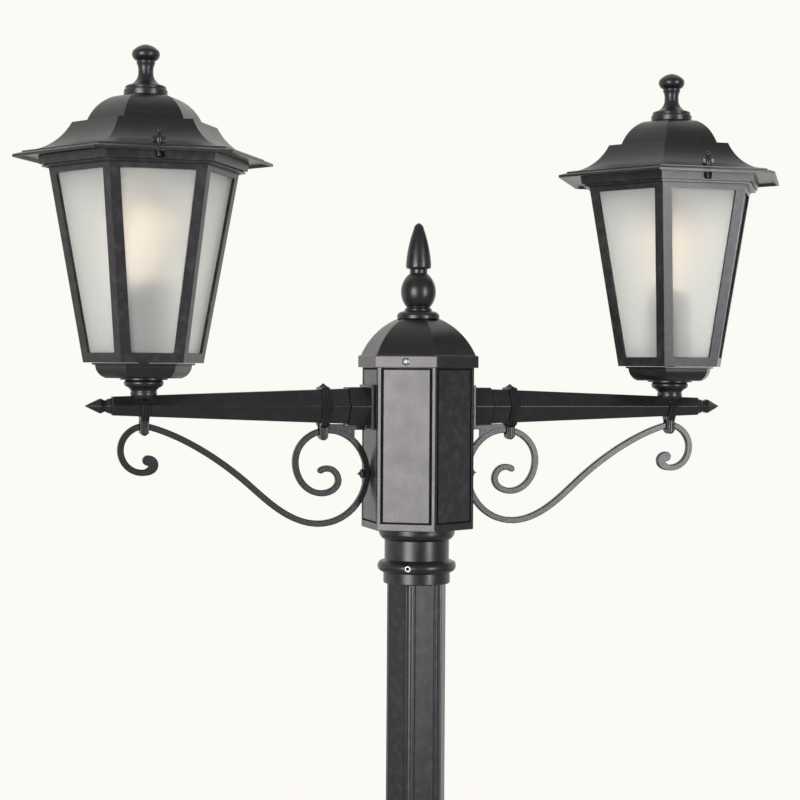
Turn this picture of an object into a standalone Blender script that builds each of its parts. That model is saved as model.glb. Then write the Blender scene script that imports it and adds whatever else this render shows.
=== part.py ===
"""Two-arm street lamp post: fluted pole, six-sided housing, two hinged-roof coach lanterns.

Metres, +Z up.  The origin is the centre of the ground flange's underside.  X runs along the two
arms, -Y is the front, where the wing screws that lock the lantern roofs are.
"""
import math

import bmesh
import bpy
from mathutils import Matrix, Vector

# ---- driving dimensions (metres) -----------------------------------------------------------
MM = 0.001
GAP = 0.3 * MM                      # kept between pieces that touch

LANTERN_X = 281.5 * MM              # lantern axis from the pole axis
ARM_Z = 1845.3 * MM                 # centre line of both arms

POLE_RADIUS = 30.0 * MM
POLE_BORE = 27.0 * MM
POLE_TOP = 1706.2 * MM
FLUTE_WIDTH = math.radians(35.7)    # wide hollow flute, six of them
FLUTE_DEPTH = 1.3 * MM
GROOVE_DEPTH = 1.0 * MM             # small grooves on both sides of the bead between two flutes
FLANGE_RADIUS = 115.0 * MM
FLANGE_THICKNESS = 8.0 * MM
ANCHOR_CIRCLE = 95.0 * MM
ANCHOR_HOLE = 5.5 * MM

HOUSING_R = 58.6 * MM               # corner radius of the six-sided housing
HOUSING_TOP = 1893.5 * MM
HOUSING_BOTTOM = 1720.8 * MM
HOUSING_WALL = 4.0 * MM
PANEL_GROOVE = 1.5 * MM              # depth of the groove round each panel of the housing
CAP_RIM_R = 63.3 * MM
SET_SCREW_Z = 1682.5 * MM
CAP_SCREW_Z = 1890.6 * MM

FRAME_TOP_R = 93.6 * MM             # corner radius of the lantern cage, top and bottom
FRAME_TOP_Z = 2075.2 * MM
FRAME_BOTTOM_R = 59.4 * MM
FRAME_BOTTOM_Z = 1887.6 * MM
FRAME_WALL = 3.0 * MM
BAND_R = 104.0 * MM                 # upright band that the roof rests on
BAND_TOP = 2087.0 * MM
WINDOW_TOP_Z = 2070.3 * MM
WINDOW_BOTTOM_Z = 1896.8 * MM
STILE = 10.0 * MM                   # frame left standing beside each window
PANE_LAP = 3.0 * MM                 # pane behind the frame, each side
PANE_THICKNESS = 2.5 * MM

ROOF_UNDER = BAND_TOP + GAP
BRIM_R = 128.4 * MM
HINGE_Y = 95.0 * MM                 # roof hinge, behind the lantern
HINGE_Z = 2082.5 * MM
KNUCKLE_R = 3.8 * MM
PIN_R = 2.0 * MM
WING_Y = -92.6 * MM                 # wing screw, just in front of the lantern's band
WING_OFFSET = -1.8 * MM             # it stands a little to one side of the notch's middle
WING_SEAT = 2093.0 * MM

ARM_HALF_START = 17.7 * MM          # half height of the arm at its socket and at its end
ARM_HALF_END = 9.2 * MM
ARM_START_X = 76.3 * MM
ARM_END_X = 313.5 * MM
ARM_WALL = 2.5 * MM
SOCKET_HALF = 19.2 * MM
CLIP_WIDTH = 8.6 * MM
CLIP_WALL = 2.8 * MM
INNER_CLIP_X = 100.0 * MM
OUTER_CLIP_X = 281.0 * MM
BAR_DEPTH = 6.0 * MM                # scroll bar, front to back
BAR_WIDTH = 6.2 * MM                # scroll bar, in the plane of the scroll
LEAF_SWELL = 2.2                    # millimetres added to each side of the bar at the outer curl's end
LEAF_STATIONS = 9                   # stations over which the bar swells
QUARTER_STEPS = 5                   # stations in each quarter turn of the scroll
ROUND_PULL = 0.5523                 # Bezier handle of a quarter turn, as a share of its radius
SCROLL_BOLT_Z = 1776.8 * MM
BOLT_HOLE_R = 2.3 * MM
LEAD_R = 2.4 * MM
LEAD_FLOOR_Z = 1746.2 * MM           # end of each lead, above the terminal block

COS30 = math.cos(math.radians(30))
HEX_FACE = HOUSING_R * COS30        # flat of the housing, from its axis
ROUND = 16                          # sides of the small turned pieces
WIDE = 24                           # sides of the base and the neck, which carry round bores

parts = None
cutters = None


# ---- scene and materials --------------------------------------------------------------------
def clear_scene():
    """Remove whatever the scene holds and make the two collections."""
    global parts, cutters
    for obj in list(bpy.data.objects):
        bpy.data.objects.remove(obj, do_unlink=True)
    parts = bpy.data.collections.new("two_arm_lamp_post")
    cutters = bpy.data.collections.new("cutters")
    bpy.context.scene.collection.children.link(parts)
    bpy.context.scene.collection.children.link(cutters)


def finish_of(name, colour, metallic, roughness, transmission=0.0):
    """A Principled material."""
    material = bpy.data.materials.new(name)
    material.use_nodes = True
    shader = material.node_tree.nodes["Principled BSDF"]
    shader.inputs["Base Color"].default_value = (*colour, 1.0)
    shader.inputs["Metallic"].default_value = metallic
    shader.inputs["Roughness"].default_value = roughness
    shader.inputs["Transmission Weight"].default_value = transmission
    return material


BLACK = ("black_powder_coat", (0.024, 0.023, 0.024), 0.0, 0.42)
SCREW_STEEL = ("bright_screw_steel", (0.62, 0.61, 0.60), 1.0, 0.30)
FROSTED = ("frosted_glass", (0.86, 0.87, 0.85), 0.0, 0.55, 0.7)
BULB_GLASS = ("opal_bulb", (0.95, 0.86, 0.74), 0.0, 0.35)
HOLDER = ("holder_plastic", (0.05, 0.05, 0.055), 0.0, 0.5)
LEAD_SKIN = ("lead_sheath", (0.03, 0.03, 0.03), 0.0, 0.6)
TERMINAL = ("terminal_plastic", (0.72, 0.71, 0.66), 0.0, 0.5)


# ---- shape helpers --------------------------------------------------------------------------
def place(obj, name, finish):
    """Name an object, give it a material of its own and put it in its collection.

    Without a finish it is a cutter: it goes with the cutters and is not rendered.
    """
    obj.name = name
    obj.data.name = name
    if finish is None:
        obj.hide_render = True
        obj.display_type = "WIRE"
    else:
        obj.data.materials.clear()
        obj.data.materials.append(finish_of(f"{name}_{finish[0]}", *finish[1:]))
    for collection in list(obj.users_collection):
        collection.objects.unlink(obj)
    (cutters if finish is None else parts).objects.link(obj)
    return obj


def turned(name, profile, finish, sides=ROUND, closed=False):
    """Turn a profile of (radius, height) about Z.  It runs down the outer side, top to bottom."""
    mesh = bpy.data.meshes.new(name)
    points = [(radius, 0.0, height) for radius, height in profile]
    edges = [(i, i + 1) for i in range(len(points) - 1)]
    if closed:
        edges.append((len(points) - 1, 0))
    mesh.from_pydata(points, edges, [])
    obj = place(bpy.data.objects.new(name, mesh), name, finish)
    screw = obj.modifiers.new("turn", "SCREW")
    screw.steps = sides
    screw.render_steps = sides
    screw.use_merge_vertices = True
    screw.merge_threshold = 0.00001
    screw.use_smooth_shade = sides > 6
    return obj


def arc(start, end, rise, count):
    """Points from start to end on an arc that bulges by rise to the left of that direction."""
    start, end = Vector(start), Vector(end)
    chord = end - start
    side = Vector((-chord.y, chord.x)).normalized()
    radius = (chord.length_squared / 4 + rise * rise) / (2 * abs(rise))
    middle = (start + end) / 2 + side * (rise - math.copysign(radius, rise))
    first = start - middle
    last = end - middle
    turn = math.atan2(first.x * last.y - first.y * last.x, first.dot(last))
    points = []
    for i in range(count + 1):
        angle = turn * i / count
        c, s = math.cos(angle), math.sin(angle)
        points.append((middle.x + c * first.x - s * first.y, middle.y + s * first.x + c * first.y))
    return points


def in_mm(points):
    """Scale a list of points given in millimetres to metres."""
    return [tuple(value * MM for value in point) for point in points]


def block(name, size, centre, finish, top_scale=(1.0, 1.0)):
    """A box, whose top face may be scaled to make a tapered one."""
    mesh = bpy.data.meshes.new(name)
    bm = bmesh.new()
    bmesh.ops.create_cube(bm, size=1.0)
    for vert in bm.verts:
        upper = vert.co.z > 0
        vert.co.x *= size[0] * (top_scale[0] if upper else 1.0)
        vert.co.y *= size[1] * (top_scale[1] if upper else 1.0)
        vert.co.z *= size[2]
    bm.to_mesh(mesh)
    bm.free()
    obj = place(bpy.data.objects.new(name, mesh), name, finish)
    obj.location = centre
    return obj


def rod(name, radius, length, centre, axis, sides=16):
    """A round bar along X, Y or Z, to cut with or to join on."""
    mesh = bpy.data.meshes.new(name)
    bm = bmesh.new()
    bmesh.ops.create_cone(bm, cap_ends=True, segments=sides, radius1=radius, radius2=radius,
                          depth=length)
    bm.to_mesh(mesh)
    bm.free()
    obj = place(bpy.data.objects.new(name, mesh), name, None)
    obj.rotation_euler = {"X": (0, math.pi / 2, 0), "Y": (math.pi / 2, 0, 0), "Z": (0, 0, 0)}[axis]
    obj.location = centre
    return obj


def plate(name, outlines, thickness, finish):
    """A flat plate from 2D outlines, the first solid and the rest holes, made a mesh."""
    curve = bpy.data.curves.new(name + "_outline", "CURVE")
    curve.dimensions = "2D"
    curve.fill_mode = "BOTH"
    curve.extrude = thickness / 2
    for outline in outlines:
        spline = curve.splines.new("POLY")
        spline.points.add(len(outline) - 1)
        for point, (x, y) in zip(spline.points, outline):
            point.co = (x, y, 0.0, 1.0)
        spline.use_cyclic_u = True
    source = bpy.data.objects.new(name + "_outline", curve)
    bpy.context.scene.collection.objects.link(source)
    bpy.context.view_layer.update()
    evaluated = source.evaluated_get(bpy.context.evaluated_depsgraph_get())
    mesh = bpy.data.meshes.new_from_object(evaluated)
    bm = bmesh.new()
    bm.from_mesh(mesh)
    bmesh.ops.remove_doubles(bm, verts=bm.verts, dist=0.000001)
    bmesh.ops.recalc_face_normals(bm, faces=bm.faces)
    bm.to_mesh(mesh)
    bm.free()
    bpy.data.objects.remove(source, do_unlink=True)
    return place(bpy.data.objects.new(name, mesh), name, finish)


def boolean(obj, operand, operation="DIFFERENCE"):
    """Cut an object with another, or join the other to it."""
    modifier = obj.modifiers.new(operand.name, "BOOLEAN")
    modifier.operation = operation
    modifier.solver = "EXACT"
    modifier.object = operand


def empty(name, location, parent=None):
    """A guide that stands on a joint's axis."""
    obj = bpy.data.objects.new(name, None)
    obj.empty_display_size = 0.03
    parts.objects.link(obj)
    obj.location = location
    if parent:
        hang(obj, parent)
    return obj


def hang(obj, parent):
    """Parent an object and keep it where it is."""
    bpy.context.view_layer.update()
    world = obj.matrix_world.copy()
    obj.parent = parent
    obj.matrix_parent_inverse = parent.matrix_world.inverted()
    obj.matrix_world = world


def along_x(obj, side, x=0.0, z=ARM_Z):
    """Lay a piece turned about Z along X, outwards on its side, with a corner to the front."""
    lay = Matrix.Rotation(side * math.pi / 2, 4, "Y") @ Matrix.Rotation(math.radians(30), 4, "Z")
    obj.matrix_world = Matrix.Translation((x, 0.0, z)) @ lay
    return obj


def face_out(obj, azimuth, radius, z):
    """Stand a piece turned about Z on a wall: its own +Z points outwards at the azimuth."""
    turn = Matrix.Rotation(azimuth, 4, "Z") @ Matrix.Rotation(math.pi / 2, 4, "Y")
    place_at = Vector((math.cos(azimuth) * radius, math.sin(azimuth) * radius, z))
    obj.matrix_world = Matrix.Translation(place_at) @ turn
    return obj


# ---- pole and base --------------------------------------------------------------------------
def pole_outline():
    """Six wide hollow flutes, and between them a bead with a small groove on each side."""
    rib = math.radians(60) - FLUTE_WIDTH
    points = []
    for sector in range(6):
        centre = sector * math.radians(60)
        for step, depth in ((-0.5, 0), (-0.40, GROOVE_DEPTH), (-0.26, GROOVE_DEPTH * 0.6), (-0.13, 0),
                            (0.13, 0), (0.26, GROOVE_DEPTH * 0.6), (0.40, GROOVE_DEPTH), (0.5, 0)):
            radius = POLE_RADIUS - depth
            angle = centre + step * rib
            points.append((radius * math.cos(angle), radius * math.sin(angle)))
        for step in range(1, 8):
            share = step / 8
            angle = centre + rib / 2 + share * FLUTE_WIDTH
            radius = POLE_RADIUS - FLUTE_DEPTH * (1 - (2 * share - 1) ** 2)
            points.append((radius * math.cos(angle), radius * math.sin(angle)))
    return points


def circle(radius, sides):
    """Points of a circle."""
    return [(radius * math.cos(2 * math.pi * i / sides), radius * math.sin(2 * math.pi * i / sides))
            for i in range(sides)]


def make_pole():
    """Fluted aluminium tube that stands on the ground flange."""
    bottom = FLANGE_THICKNESS + GAP
    pole = plate("pole", [pole_outline(), circle(POLE_BORE, 36)], POLE_TOP - bottom, BLACK)
    pole.location.z = (POLE_TOP + bottom) / 2


def make_base():
    """Ground flange with a spigot for the pole, and the bell-shaped cover above it."""
    thick, edge = FLANGE_THICKNESS, FLANGE_RADIUS
    spigot, cable_way, spigot_top = POLE_BORE - GAP, 18 * MM, 110 * MM
    flange = turned("base_flange", [
        (spigot, spigot_top), (spigot, thick), (edge - 2 * MM, thick), (edge, thick - 2 * MM),
        (edge, 0.0), (cable_way, 0.0), (cable_way, spigot_top)], BLACK, WIDE, closed=True)
    for i in range(4):
        angle = math.radians(45 + 90 * i)
        spot = (ANCHOR_CIRCLE * math.cos(angle), ANCHOR_CIRCLE * math.sin(angle), thick / 2)
        boolean(flange, rod(f"anchor_hole_{i + 1}", ANCHOR_HOLE, 3 * thick, spot, "Z"))
    outer = ([(34, 323), (36, 318), (33.7, 311)] + arc((33.7, 303), (55, 128), -5.5, 5)
             + arc((60, 124), (60, 112), 5.5, 4) + arc((57, 109), (72, 38), -4, 3)
             + [(78, 30), (78, 8.3)])
    inner = ([(73, 8.3), (73, 29)] + arc((66.5, 38), (52, 107), 4, 3)
             + [(50, 125), (40, 175), (33.7, 240), (30.7, 262), (30.7, 323)])
    turned("base_cover", in_mm(outer + inner), BLACK, WIDE, closed=True)


# ---- head: collar, housing, cap, finial -----------------------------------------------------
def make_neck_collar(head):
    """Round casting under the housing that slips over the pole and is clamped by set screws."""
    torus = arc((34.4, 1688.2), (34.4, 1676.4), 5.8, 7)
    bore = 30.7
    profile = ([(38.8, 1720.5), (38.8, 1715.4), (37.6, 1713.4), (36.0, 1711.3), (34.2, 1709.6),
                (33.0, 1708.9), (33.0, 1689.0)] + torus
               + [(34.1, 1666.2), (33.0, 1665.0), (bore, 1665.0), (bore, 1706.5), (20.0, 1706.5),
                  (20.0, 1720.5)])
    collar = turned("neck_collar", in_mm(profile), BLACK, WIDE, closed=True)
    hang(collar, head)
    for i, degrees in enumerate((-120, 0, 120), start=1):
        azimuth = math.radians(degrees)
        hole = turned(f"set_screw_hole_{i}", in_mm([(0, 10), (3.9, 10), (3.9, -20), (0, -20)]), None, 12)
        face_out(hole, azimuth, 40 * MM, SET_SCREW_Z)
        boolean(collar, hole)
        screw = turned(f"set_screw_{i}", in_mm([(0, -2.5), (1.8, -2.5), (1.8, 0), (3.1, 0), (3.5, -0.4),
                                               (3.5, -10.6), (0, -10.6)]), SCREW_STEEL, 12)
        hang(face_out(screw, azimuth, 41 * MM, SET_SCREW_Z), head)


def make_housing(head):
    """Six-sided box between the arms, with a groove round the panel on each of its faces."""
    wall = HOUSING_WALL / COS30
    top, bottom, inside = HOUSING_TOP, HOUSING_BOTTOM, HOUSING_R - wall
    housing = turned("housing", [
        (HOUSING_R, top), (HOUSING_R, bottom + 0.6 * MM), (HOUSING_R - 0.6 * MM, bottom), (22 * MM, bottom),
        (22 * MM, bottom + 4.5 * MM), (inside, bottom + 4.5 * MM), (inside, top)], BLACK, 6, closed=True)
    housing.rotation_euler.z = math.radians(30)
    ring = [in_mm([(-u, low), (u, low), (u, high), (-u, high)])
            for u, low, high in ((26.3, 1727.9, 1884.1), (23.5, 1729.7, 1882.4))]
    lay = Matrix.Rotation(math.pi / 2, 4, "Z") @ Matrix.Rotation(math.pi / 2, 4, "X")
    for degrees in range(0, 360, 60):
        groove = plate(f"panel_groove_{degrees}", ring, 2 * PANEL_GROOVE, None)
        turn = Matrix.Rotation(math.radians(degrees), 4, "Z")
        groove.matrix_world = turn @ Matrix.Translation((HEX_FACE, 0, 0)) @ lay
        boolean(housing, groove)
    for side in (-1, 1):
        wall_x = side * HEX_FACE
        boolean(housing, rod(f"lead_hole_{side}", 8 * MM, 20 * MM, (wall_x, 0, ARM_Z), "X"))
        boolean(housing, rod(f"scroll_bolt_hole_{side}", BOLT_HOLE_R, 20 * MM, (wall_x, 0, SCROLL_BOLT_Z),
                             "X", 12))
    hang(housing, head)
    return housing


def make_cap(head, housing):
    """Six-sided domed cap with an upright rim, two screws through the rim, and the spear finial."""
    dome = arc((22.9, 1934.3), (60.3, 1897.4), 5.0, 7)
    inner = arc((56.5, 1896.2), (20.5, 1930.8), -4.6, 4)
    profile = ([(5.2, 1934.3)] + dome + [(62.5, 1896.9), (63.3, 1896.1), (63.3, 1884.7), (59.1, 1884.7),
                                         (59.1, 1894.6)] + inner + [(5.2, 1930.8)])
    cap = turned("housing_cap", in_mm(profile), BLACK, 6, closed=True)
    cap.rotation_euler.z = math.radians(30)
    for label, degrees in (("front", -120), ("rear", 60)):
        azimuth = math.radians(degrees)
        face = CAP_RIM_R * COS30
        hole = turned(f"cap_screw_hole_{label}", in_mm([(0, 4), (2.3, 4), (2.3, -14), (0, -14)]), None, 12)
        face_out(hole, azimuth, face, CAP_SCREW_Z)
        boolean(cap, hole)
        boolean(housing, hole)
        head_top = arc((0.0, 2.3), (3.9, 0.9), 0.35, 3)
        screw = turned(f"cap_screw_{label}",
                       in_mm(head_top + [(3.9, 0.3), (2.0, 0.3), (2.0, -10), (0, -10)]), SCREW_STEEL)
        hang(face_out(screw, azimuth, face, CAP_SCREW_Z), head)
    hang(cap, head)
    spear = [(0.0, 2032.8), (2.2, 2031.0), (5.4, 2026.2), (8.0, 2018.9), (11.3, 2004.3), (12.9, 1990.5),
             (12.9, 1987.5)]
    ball = arc((8.9, 1981.0), (12.0, 1946.5), 7.4, 7)
    profile = (spear + [(12.3, 1986.0), (9.0, 1985.2)] + ball + [(14.0, 1944.6), (14.0, 1943.2)]
               + [(17.5, 1941.8), (20.5, 1940.6), (21.7, 1937.6), (21.7, 1934.6), (4.0, 1934.6),
                  (4.0, 1922.0), (0, 1922.0)])
    hang(turned("spear_finial", in_mm(profile), BLACK), head)


def make_terminal_block(head):
    """Terminal block on the housing's floor, where the two lantern leads meet."""
    floor = HOUSING_BOTTOM + 4.5 * MM + GAP
    tall = 20 * MM
    body = block("terminal_block", (44 * MM, 18 * MM, tall), (0, 29 * MM, floor + tall / 2), TERMINAL)
    for i in range(4):
        spot = ((i - 1.5) * 10.5 * MM, 23 * MM, floor + tall)
        boolean(body, block(f"terminal_slot_{i + 1}", (5 * MM, 5 * MM, 8 * MM), spot, None))
    hang(body, head)


# ---- arms -----------------------------------------------------------------------------------
def arm_half(x):
    """Half height of the tapered arm at a distance from the pole axis."""
    share = (x - ARM_START_X) / (ARM_END_X - ARM_START_X)
    return ARM_HALF_START + share * (ARM_HALF_END - ARM_HALF_START)


def arm_envelope(name, side, room):
    """Cutter in the arm's outer shape, grown by room."""
    start, end = ARM_START_X - 10 * MM, ARM_END_X + 10 * MM
    corner_end, corner_start = (arm_half(end) + room) / COS30, (arm_half(start) + room) / COS30
    profile = [(0, end), (corner_end, end), (corner_start, start), (0, start)]
    return along_x(turned(name, profile, None, 6), side)


def make_arm(label, side, head):
    """Tapered hollow arm of six sides, its socket on the housing, and the spear at its end."""
    tongue = ARM_HALF_START - 1.8 * MM
    start = HEX_FACE + 6 * MM
    plug = ARM_END_X - 5 * MM
    tip_bore = 3.8 * MM
    profile = [((ARM_HALF_END - 1.2 * MM), ARM_END_X), (ARM_HALF_END, ARM_END_X - 1.2 * MM),
               (ARM_HALF_START, ARM_START_X), (tongue, ARM_START_X), (tongue, start),
               (tongue - ARM_WALL, start), (tongue - ARM_WALL, ARM_START_X),
               (ARM_HALF_END - ARM_WALL, plug), (tip_bore, plug), (tip_bore, ARM_END_X)]
    arm = turned(f"{label}_arm", [(half / COS30, x) for half, x in profile], BLACK, 6, closed=True)
    along_x(arm, side)
    boolean(arm, rod(f"{label}_arm_lead_hole", 5.0 * MM, 20 * MM,
                     (side * LANTERN_X, 0, ARM_Z + 10 * MM), "Z"))
    hang(arm, head)

    plate_thick = 4.5 * MM
    face = HEX_FACE + GAP
    bore = tongue + GAP
    mouth, root = ARM_START_X - GAP, face + plate_thick / 2
    sleeve = [(SOCKET_HALF, mouth), (SOCKET_HALF, root), (bore, root), (bore, mouth)]
    socket = turned(f"{label}_arm_socket", [(half / COS30, x) for half, x in sleeve], BLACK, 6, closed=True)
    along_x(socket, side)
    mounting = block(f"{label}_socket_plate", (plate_thick, 46.4 * MM, 45 * MM),
                     (side * (face + plate_thick / 2), 0, ARM_Z - 0.8 * MM), None)
    lead_way = rod(f"{label}_socket_bore", 14 * MM, 30 * MM, (side * face, 0, ARM_Z), "X", 24)
    boolean(socket, mounting, "UNION")
    boolean(socket, lead_way)
    hang(socket, head)

    tip = [(0, 339.5), (7.25, 324.4), (7.0, 323.2), (5.6, 320.6), (5.6, 318.8), (7.0, 316.4),
           (7.4, 313.8), (3.2, 313.8), (3.2, 305.0), (0, 305.0)]
    point = turned(f"{label}_arm_tip", in_mm([(half / COS30, x) for half, x in tip]), BLACK, 6)
    hang(along_x(point, side), head)


def bezier(start, leave, arrive, end, count):
    """Points after the start of a cubic Bezier curve."""
    points = []
    for i in range(1, count + 1):
        t = i / count
        u = 1 - t
        points.append(u ** 3 * start + 3 * u * u * t * leave + 3 * u * t * t * arrive + t ** 3 * end)
    return points


def quarter(start, end, leave_flat):
    """A quarter of a turn from start to end; it leaves level if leave_flat, else upright."""
    start, end = Vector(start), Vector(end)
    corner = Vector((end.x, start.y)) if leave_flat else Vector((start.x, end.y))
    return bezier(start, start.lerp(corner, ROUND_PULL), end.lerp(corner, ROUND_PULL), end, QUARTER_STEPS)


def scroll_route():
    """Centre line of the scroll in millimetres: inner curl, housing side, S to the outer curl."""
    turns = [((95.5, 1782.3), (83.8, 1770.0), True), ((83.8, 1770.0), (101.0, 1757.4), False),
             ((101.0, 1757.4), (128.5, 1789.5), True), ((128.5, 1789.5), (94.5, 1820.8), False),
             ((94.5, 1820.8), (54.0, 1776.8), True), ((54.0, 1776.8), (103.5, 1726.8), False)]
    outer_turns = [((279.5, 1825.6), (304.1, 1802.0), True), ((304.1, 1802.0), (282.6, 1779.8), False),
                   ((282.6, 1779.8), (271.8, 1786.8), True), ((271.8, 1786.8), (277.4, 1791.8), False)]
    hook = [Vector(spot) for spot in ((102.2, 1780.4), (100.6, 1781.7), (98.2, 1782.3), (95.5, 1782.3))]
    rise = [Vector(spot) for spot in ((103.5, 1726.8), (131.5, 1726.8), (154.0, 1747.5), (174.0, 1765.2))]
    sweep = [Vector(spot) for spot in ((174.0, 1765.2), (206.0, 1793.5), (245.5, 1817.4), (279.5, 1825.6))]
    points = [hook[0]] + bezier(*hook, 3)
    for start, end, leave_flat in turns:
        points += quarter(start, end, leave_flat)
    points += bezier(*rise, 6) + bezier(*sweep, 7)
    for start, end, leave_flat in outer_turns:
        points += quarter(start, end, leave_flat)
    return points


def scroll_stations():
    """Centre, normal and half width along the bar, with round ends and a swollen outer end."""
    route = scroll_route()
    count = len(route)
    stations = []
    for i, spot in enumerate(route):
        along = (route[min(i + 1, count - 1)] - route[max(i - 1, 0)]).normalized()
        from_end = (count - 1 - i) / LEAF_STATIONS
        swell = LEAF_SWELL * math.sin(math.pi * (0.35 + 0.65 * from_end)) if from_end < 1 else 0.0
        stations.append((spot, along, BAR_WIDTH / 2 / MM + swell))
    first, last = stations[0], stations[-1]
    for angle in (30, 60, 80):
        c, s = math.cos(math.radians(angle)), math.sin(math.radians(angle))
        stations.insert(0, (first[0] - first[1] * first[2] * s, first[1], first[2] * c))
        stations.append((last[0] + last[1] * last[2] * s, last[1], last[2] * c))
    return stations


def scroll_bar(name, side):
    """The scroll as a flat ribbon in the arm's plane, thickened to the bar's depth."""
    mesh = bpy.data.meshes.new(name)
    bm = bmesh.new()
    pairs = []
    for spot, along, half in scroll_stations():
        normal = Vector((-along.y, along.x)) * half
        edges = (spot + normal, spot - normal)
        pairs.append([bm.verts.new((side * point.x * MM, 0.0, point.y * MM)) for point in edges])
    for (a, b), (c, d) in zip(pairs, pairs[1:]):
        bm.faces.new((a, b, d, c) if side > 0 else (c, d, b, a))
    bm.to_mesh(mesh)
    bm.free()
    obj = place(bpy.data.objects.new(name, mesh), name, BLACK)
    thicken = obj.modifiers.new("thicken", "SOLIDIFY")
    thicken.thickness = BAR_DEPTH
    thicken.offset = 0.0
    return obj


def make_scroll(label, side, head):
    """S-scroll bar with its short support bar, the bolt into the housing, and the two clips."""
    scroll = scroll_bar(f"{label}_scroll", side)
    support = in_mm([(56.4, 1825.7), (56.4, 1821.2), (67.4, 1821.2), (67.4, 1809.5), (73.5, 1814.0),
                     (80.0, 1818.0), (95.3, 1819.6), (95.3, 1827.2), (77.0, 1827.0), (77.0, 1825.7)])
    if side < 0:
        support = [(-u, v) for u, v in reversed(support)]
    bracket = plate(f"{label}_support_bar", [support], BAR_DEPTH - 0.6 * MM, None)
    bracket.matrix_world = Matrix.Rotation(math.pi / 2, 4, "X")
    boolean(scroll, bracket, "UNION")
    boolean(scroll, rod(f"{label}_scroll_hole", BOLT_HOLE_R, 20 * MM, (side * 54 * MM, 0, SCROLL_BOLT_Z),
                        "X", 12))
    hang(scroll, head)

    bolt = turned(f"{label}_scroll_bolt", in_mm([(0, 64.5), (3.4, 60.4), (4.6, 59.2), (4.6, 57.8),
                                                (2.0, 57.8), (2.0, 44.0), (0, 44.0)]), BLACK, 12)
    hang(along_x(bolt, side, z=SCROLL_BOLT_Z), head)

    make_clip(f"{label}_inner_clip", side, head, INNER_CLIP_X, 1810.8 * MM, (1815.8 * MM, 1828.6 * MM), True)
    make_clip(f"{label}_outer_clip", side, head, OUTER_CLIP_X, 1816.0 * MM, (1820.8 * MM, 1831.0 * MM), False)


def make_clip(name, side, head, x, foot_z, slot, closed):
    """Band around the arm, and below it a cheek on each side of the scroll bar, pointed at its foot.

    A closed band goes over the top of the arm; the other one is a saddle under it.
    """
    half = arm_half(x) + CLIP_WALL + GAP
    corner = half / COS30
    cheek, foot = 6.6 * MM, foot_z - ARM_Z
    right_side = [(corner, 0.0), (corner / 2, -half), (cheek, -half - 2 * MM), (cheek, foot + 7.5 * MM),
                  (cheek - 2.5 * MM, foot + 3.5 * MM), (1.2 * MM, foot)]
    top = []
    if closed:
        top = [(-corner / 2, half), (corner / 2, half)]
    else:
        right_side = [(corner - 0.9 * MM, 1.8 * MM)] + right_side
    left_side = [(-y, z) for y, z in reversed(right_side)]
    clip = plate(name, [right_side + left_side + top], CLIP_WIDTH, BLACK)
    lay = Matrix.Rotation(math.pi / 2, 4, "Z") @ Matrix.Rotation(math.pi / 2, 4, "X")
    clip.matrix_world = Matrix.Translation((side * x, 0, ARM_Z)) @ lay
    if closed:
        spear = block(f"{name}_spear", (7.6 * MM, 4.6 * MM, 3.6 * MM), (side * x, 0, ARM_Z + half + 1.0 * MM),
                      None, (0.3, 0.5))
        boolean(clip, spear, "UNION")
    boolean(clip, arm_envelope(f"{name}_arm", side, GAP))
    slot_low, slot_high = slot
    slot_size = (CLIP_WIDTH + 4 * MM, BAR_DEPTH + 2 * GAP, slot_high - slot_low)
    boolean(clip, block(f"{name}_slot", slot_size, (side * x, 0, (slot_high + slot_low) / 2), None))
    hang(clip, head)


# ---- lanterns -------------------------------------------------------------------------------
def make_stem(label, side, head):
    """Turned stem between arm and lantern: saddle, bead, ball, collar and hollow nipple."""
    profile = [(5.0, 1898.5), (5.0, 1872.3), (23.4, 1872.3), (23.4, 1871.0), (17.5, 1870.7), (19.0, 1869.6),
               (19.4, 1868.0), (18.6, 1865.5), (16.5, 1863.6), (13.4, 1861.5), (12.7, 1860.2), (12.9, 1857.0),
               (12.6, 1854.5), (11.4, 1852.3), (9.8, 1851.0), (5.8, 1848.0), (3.4, 1848.0), (3.4, 1898.5)]
    stem = turned(f"{label}_stem", in_mm(profile), BLACK, closed=True)
    stem.location.x = side * LANTERN_X
    boolean(stem, arm_envelope(f"{label}_stem_saddle", side, GAP))
    hang(stem, head)


def make_cup(label, side, head):
    """Six-sided cup under the lantern cage."""
    outer = [(51.0, 1887.3), (51.0, 1885.5), (47.8, 1885.2)] + arc((47.8, 1885.2), (38.5, 1873.0), 2.2, 5)[1:]
    inner = [(38.5, 1872.6), (7.0, 1872.6), (7.0, 1875.4), (35.8, 1875.4), (44.2, 1885.4), (44.2, 1887.3)]
    cup = turned(f"{label}_lantern_cup", in_mm(outer + inner), BLACK, 6, closed=True)
    cup.location.x = side * LANTERN_X
    hang(cup, head)


def frame_radius(z):
    """Corner radius of the tapered cage at a height."""
    share = (z - FRAME_BOTTOM_Z) / (FRAME_TOP_Z - FRAME_BOTTOM_Z)
    return FRAME_BOTTOM_R + share * (FRAME_TOP_R - FRAME_BOTTOM_R)


FRAME_TILT = math.atan((FRAME_TOP_R - FRAME_BOTTOM_R) * COS30 / (FRAME_TOP_Z - FRAME_BOTTOM_Z))


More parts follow.
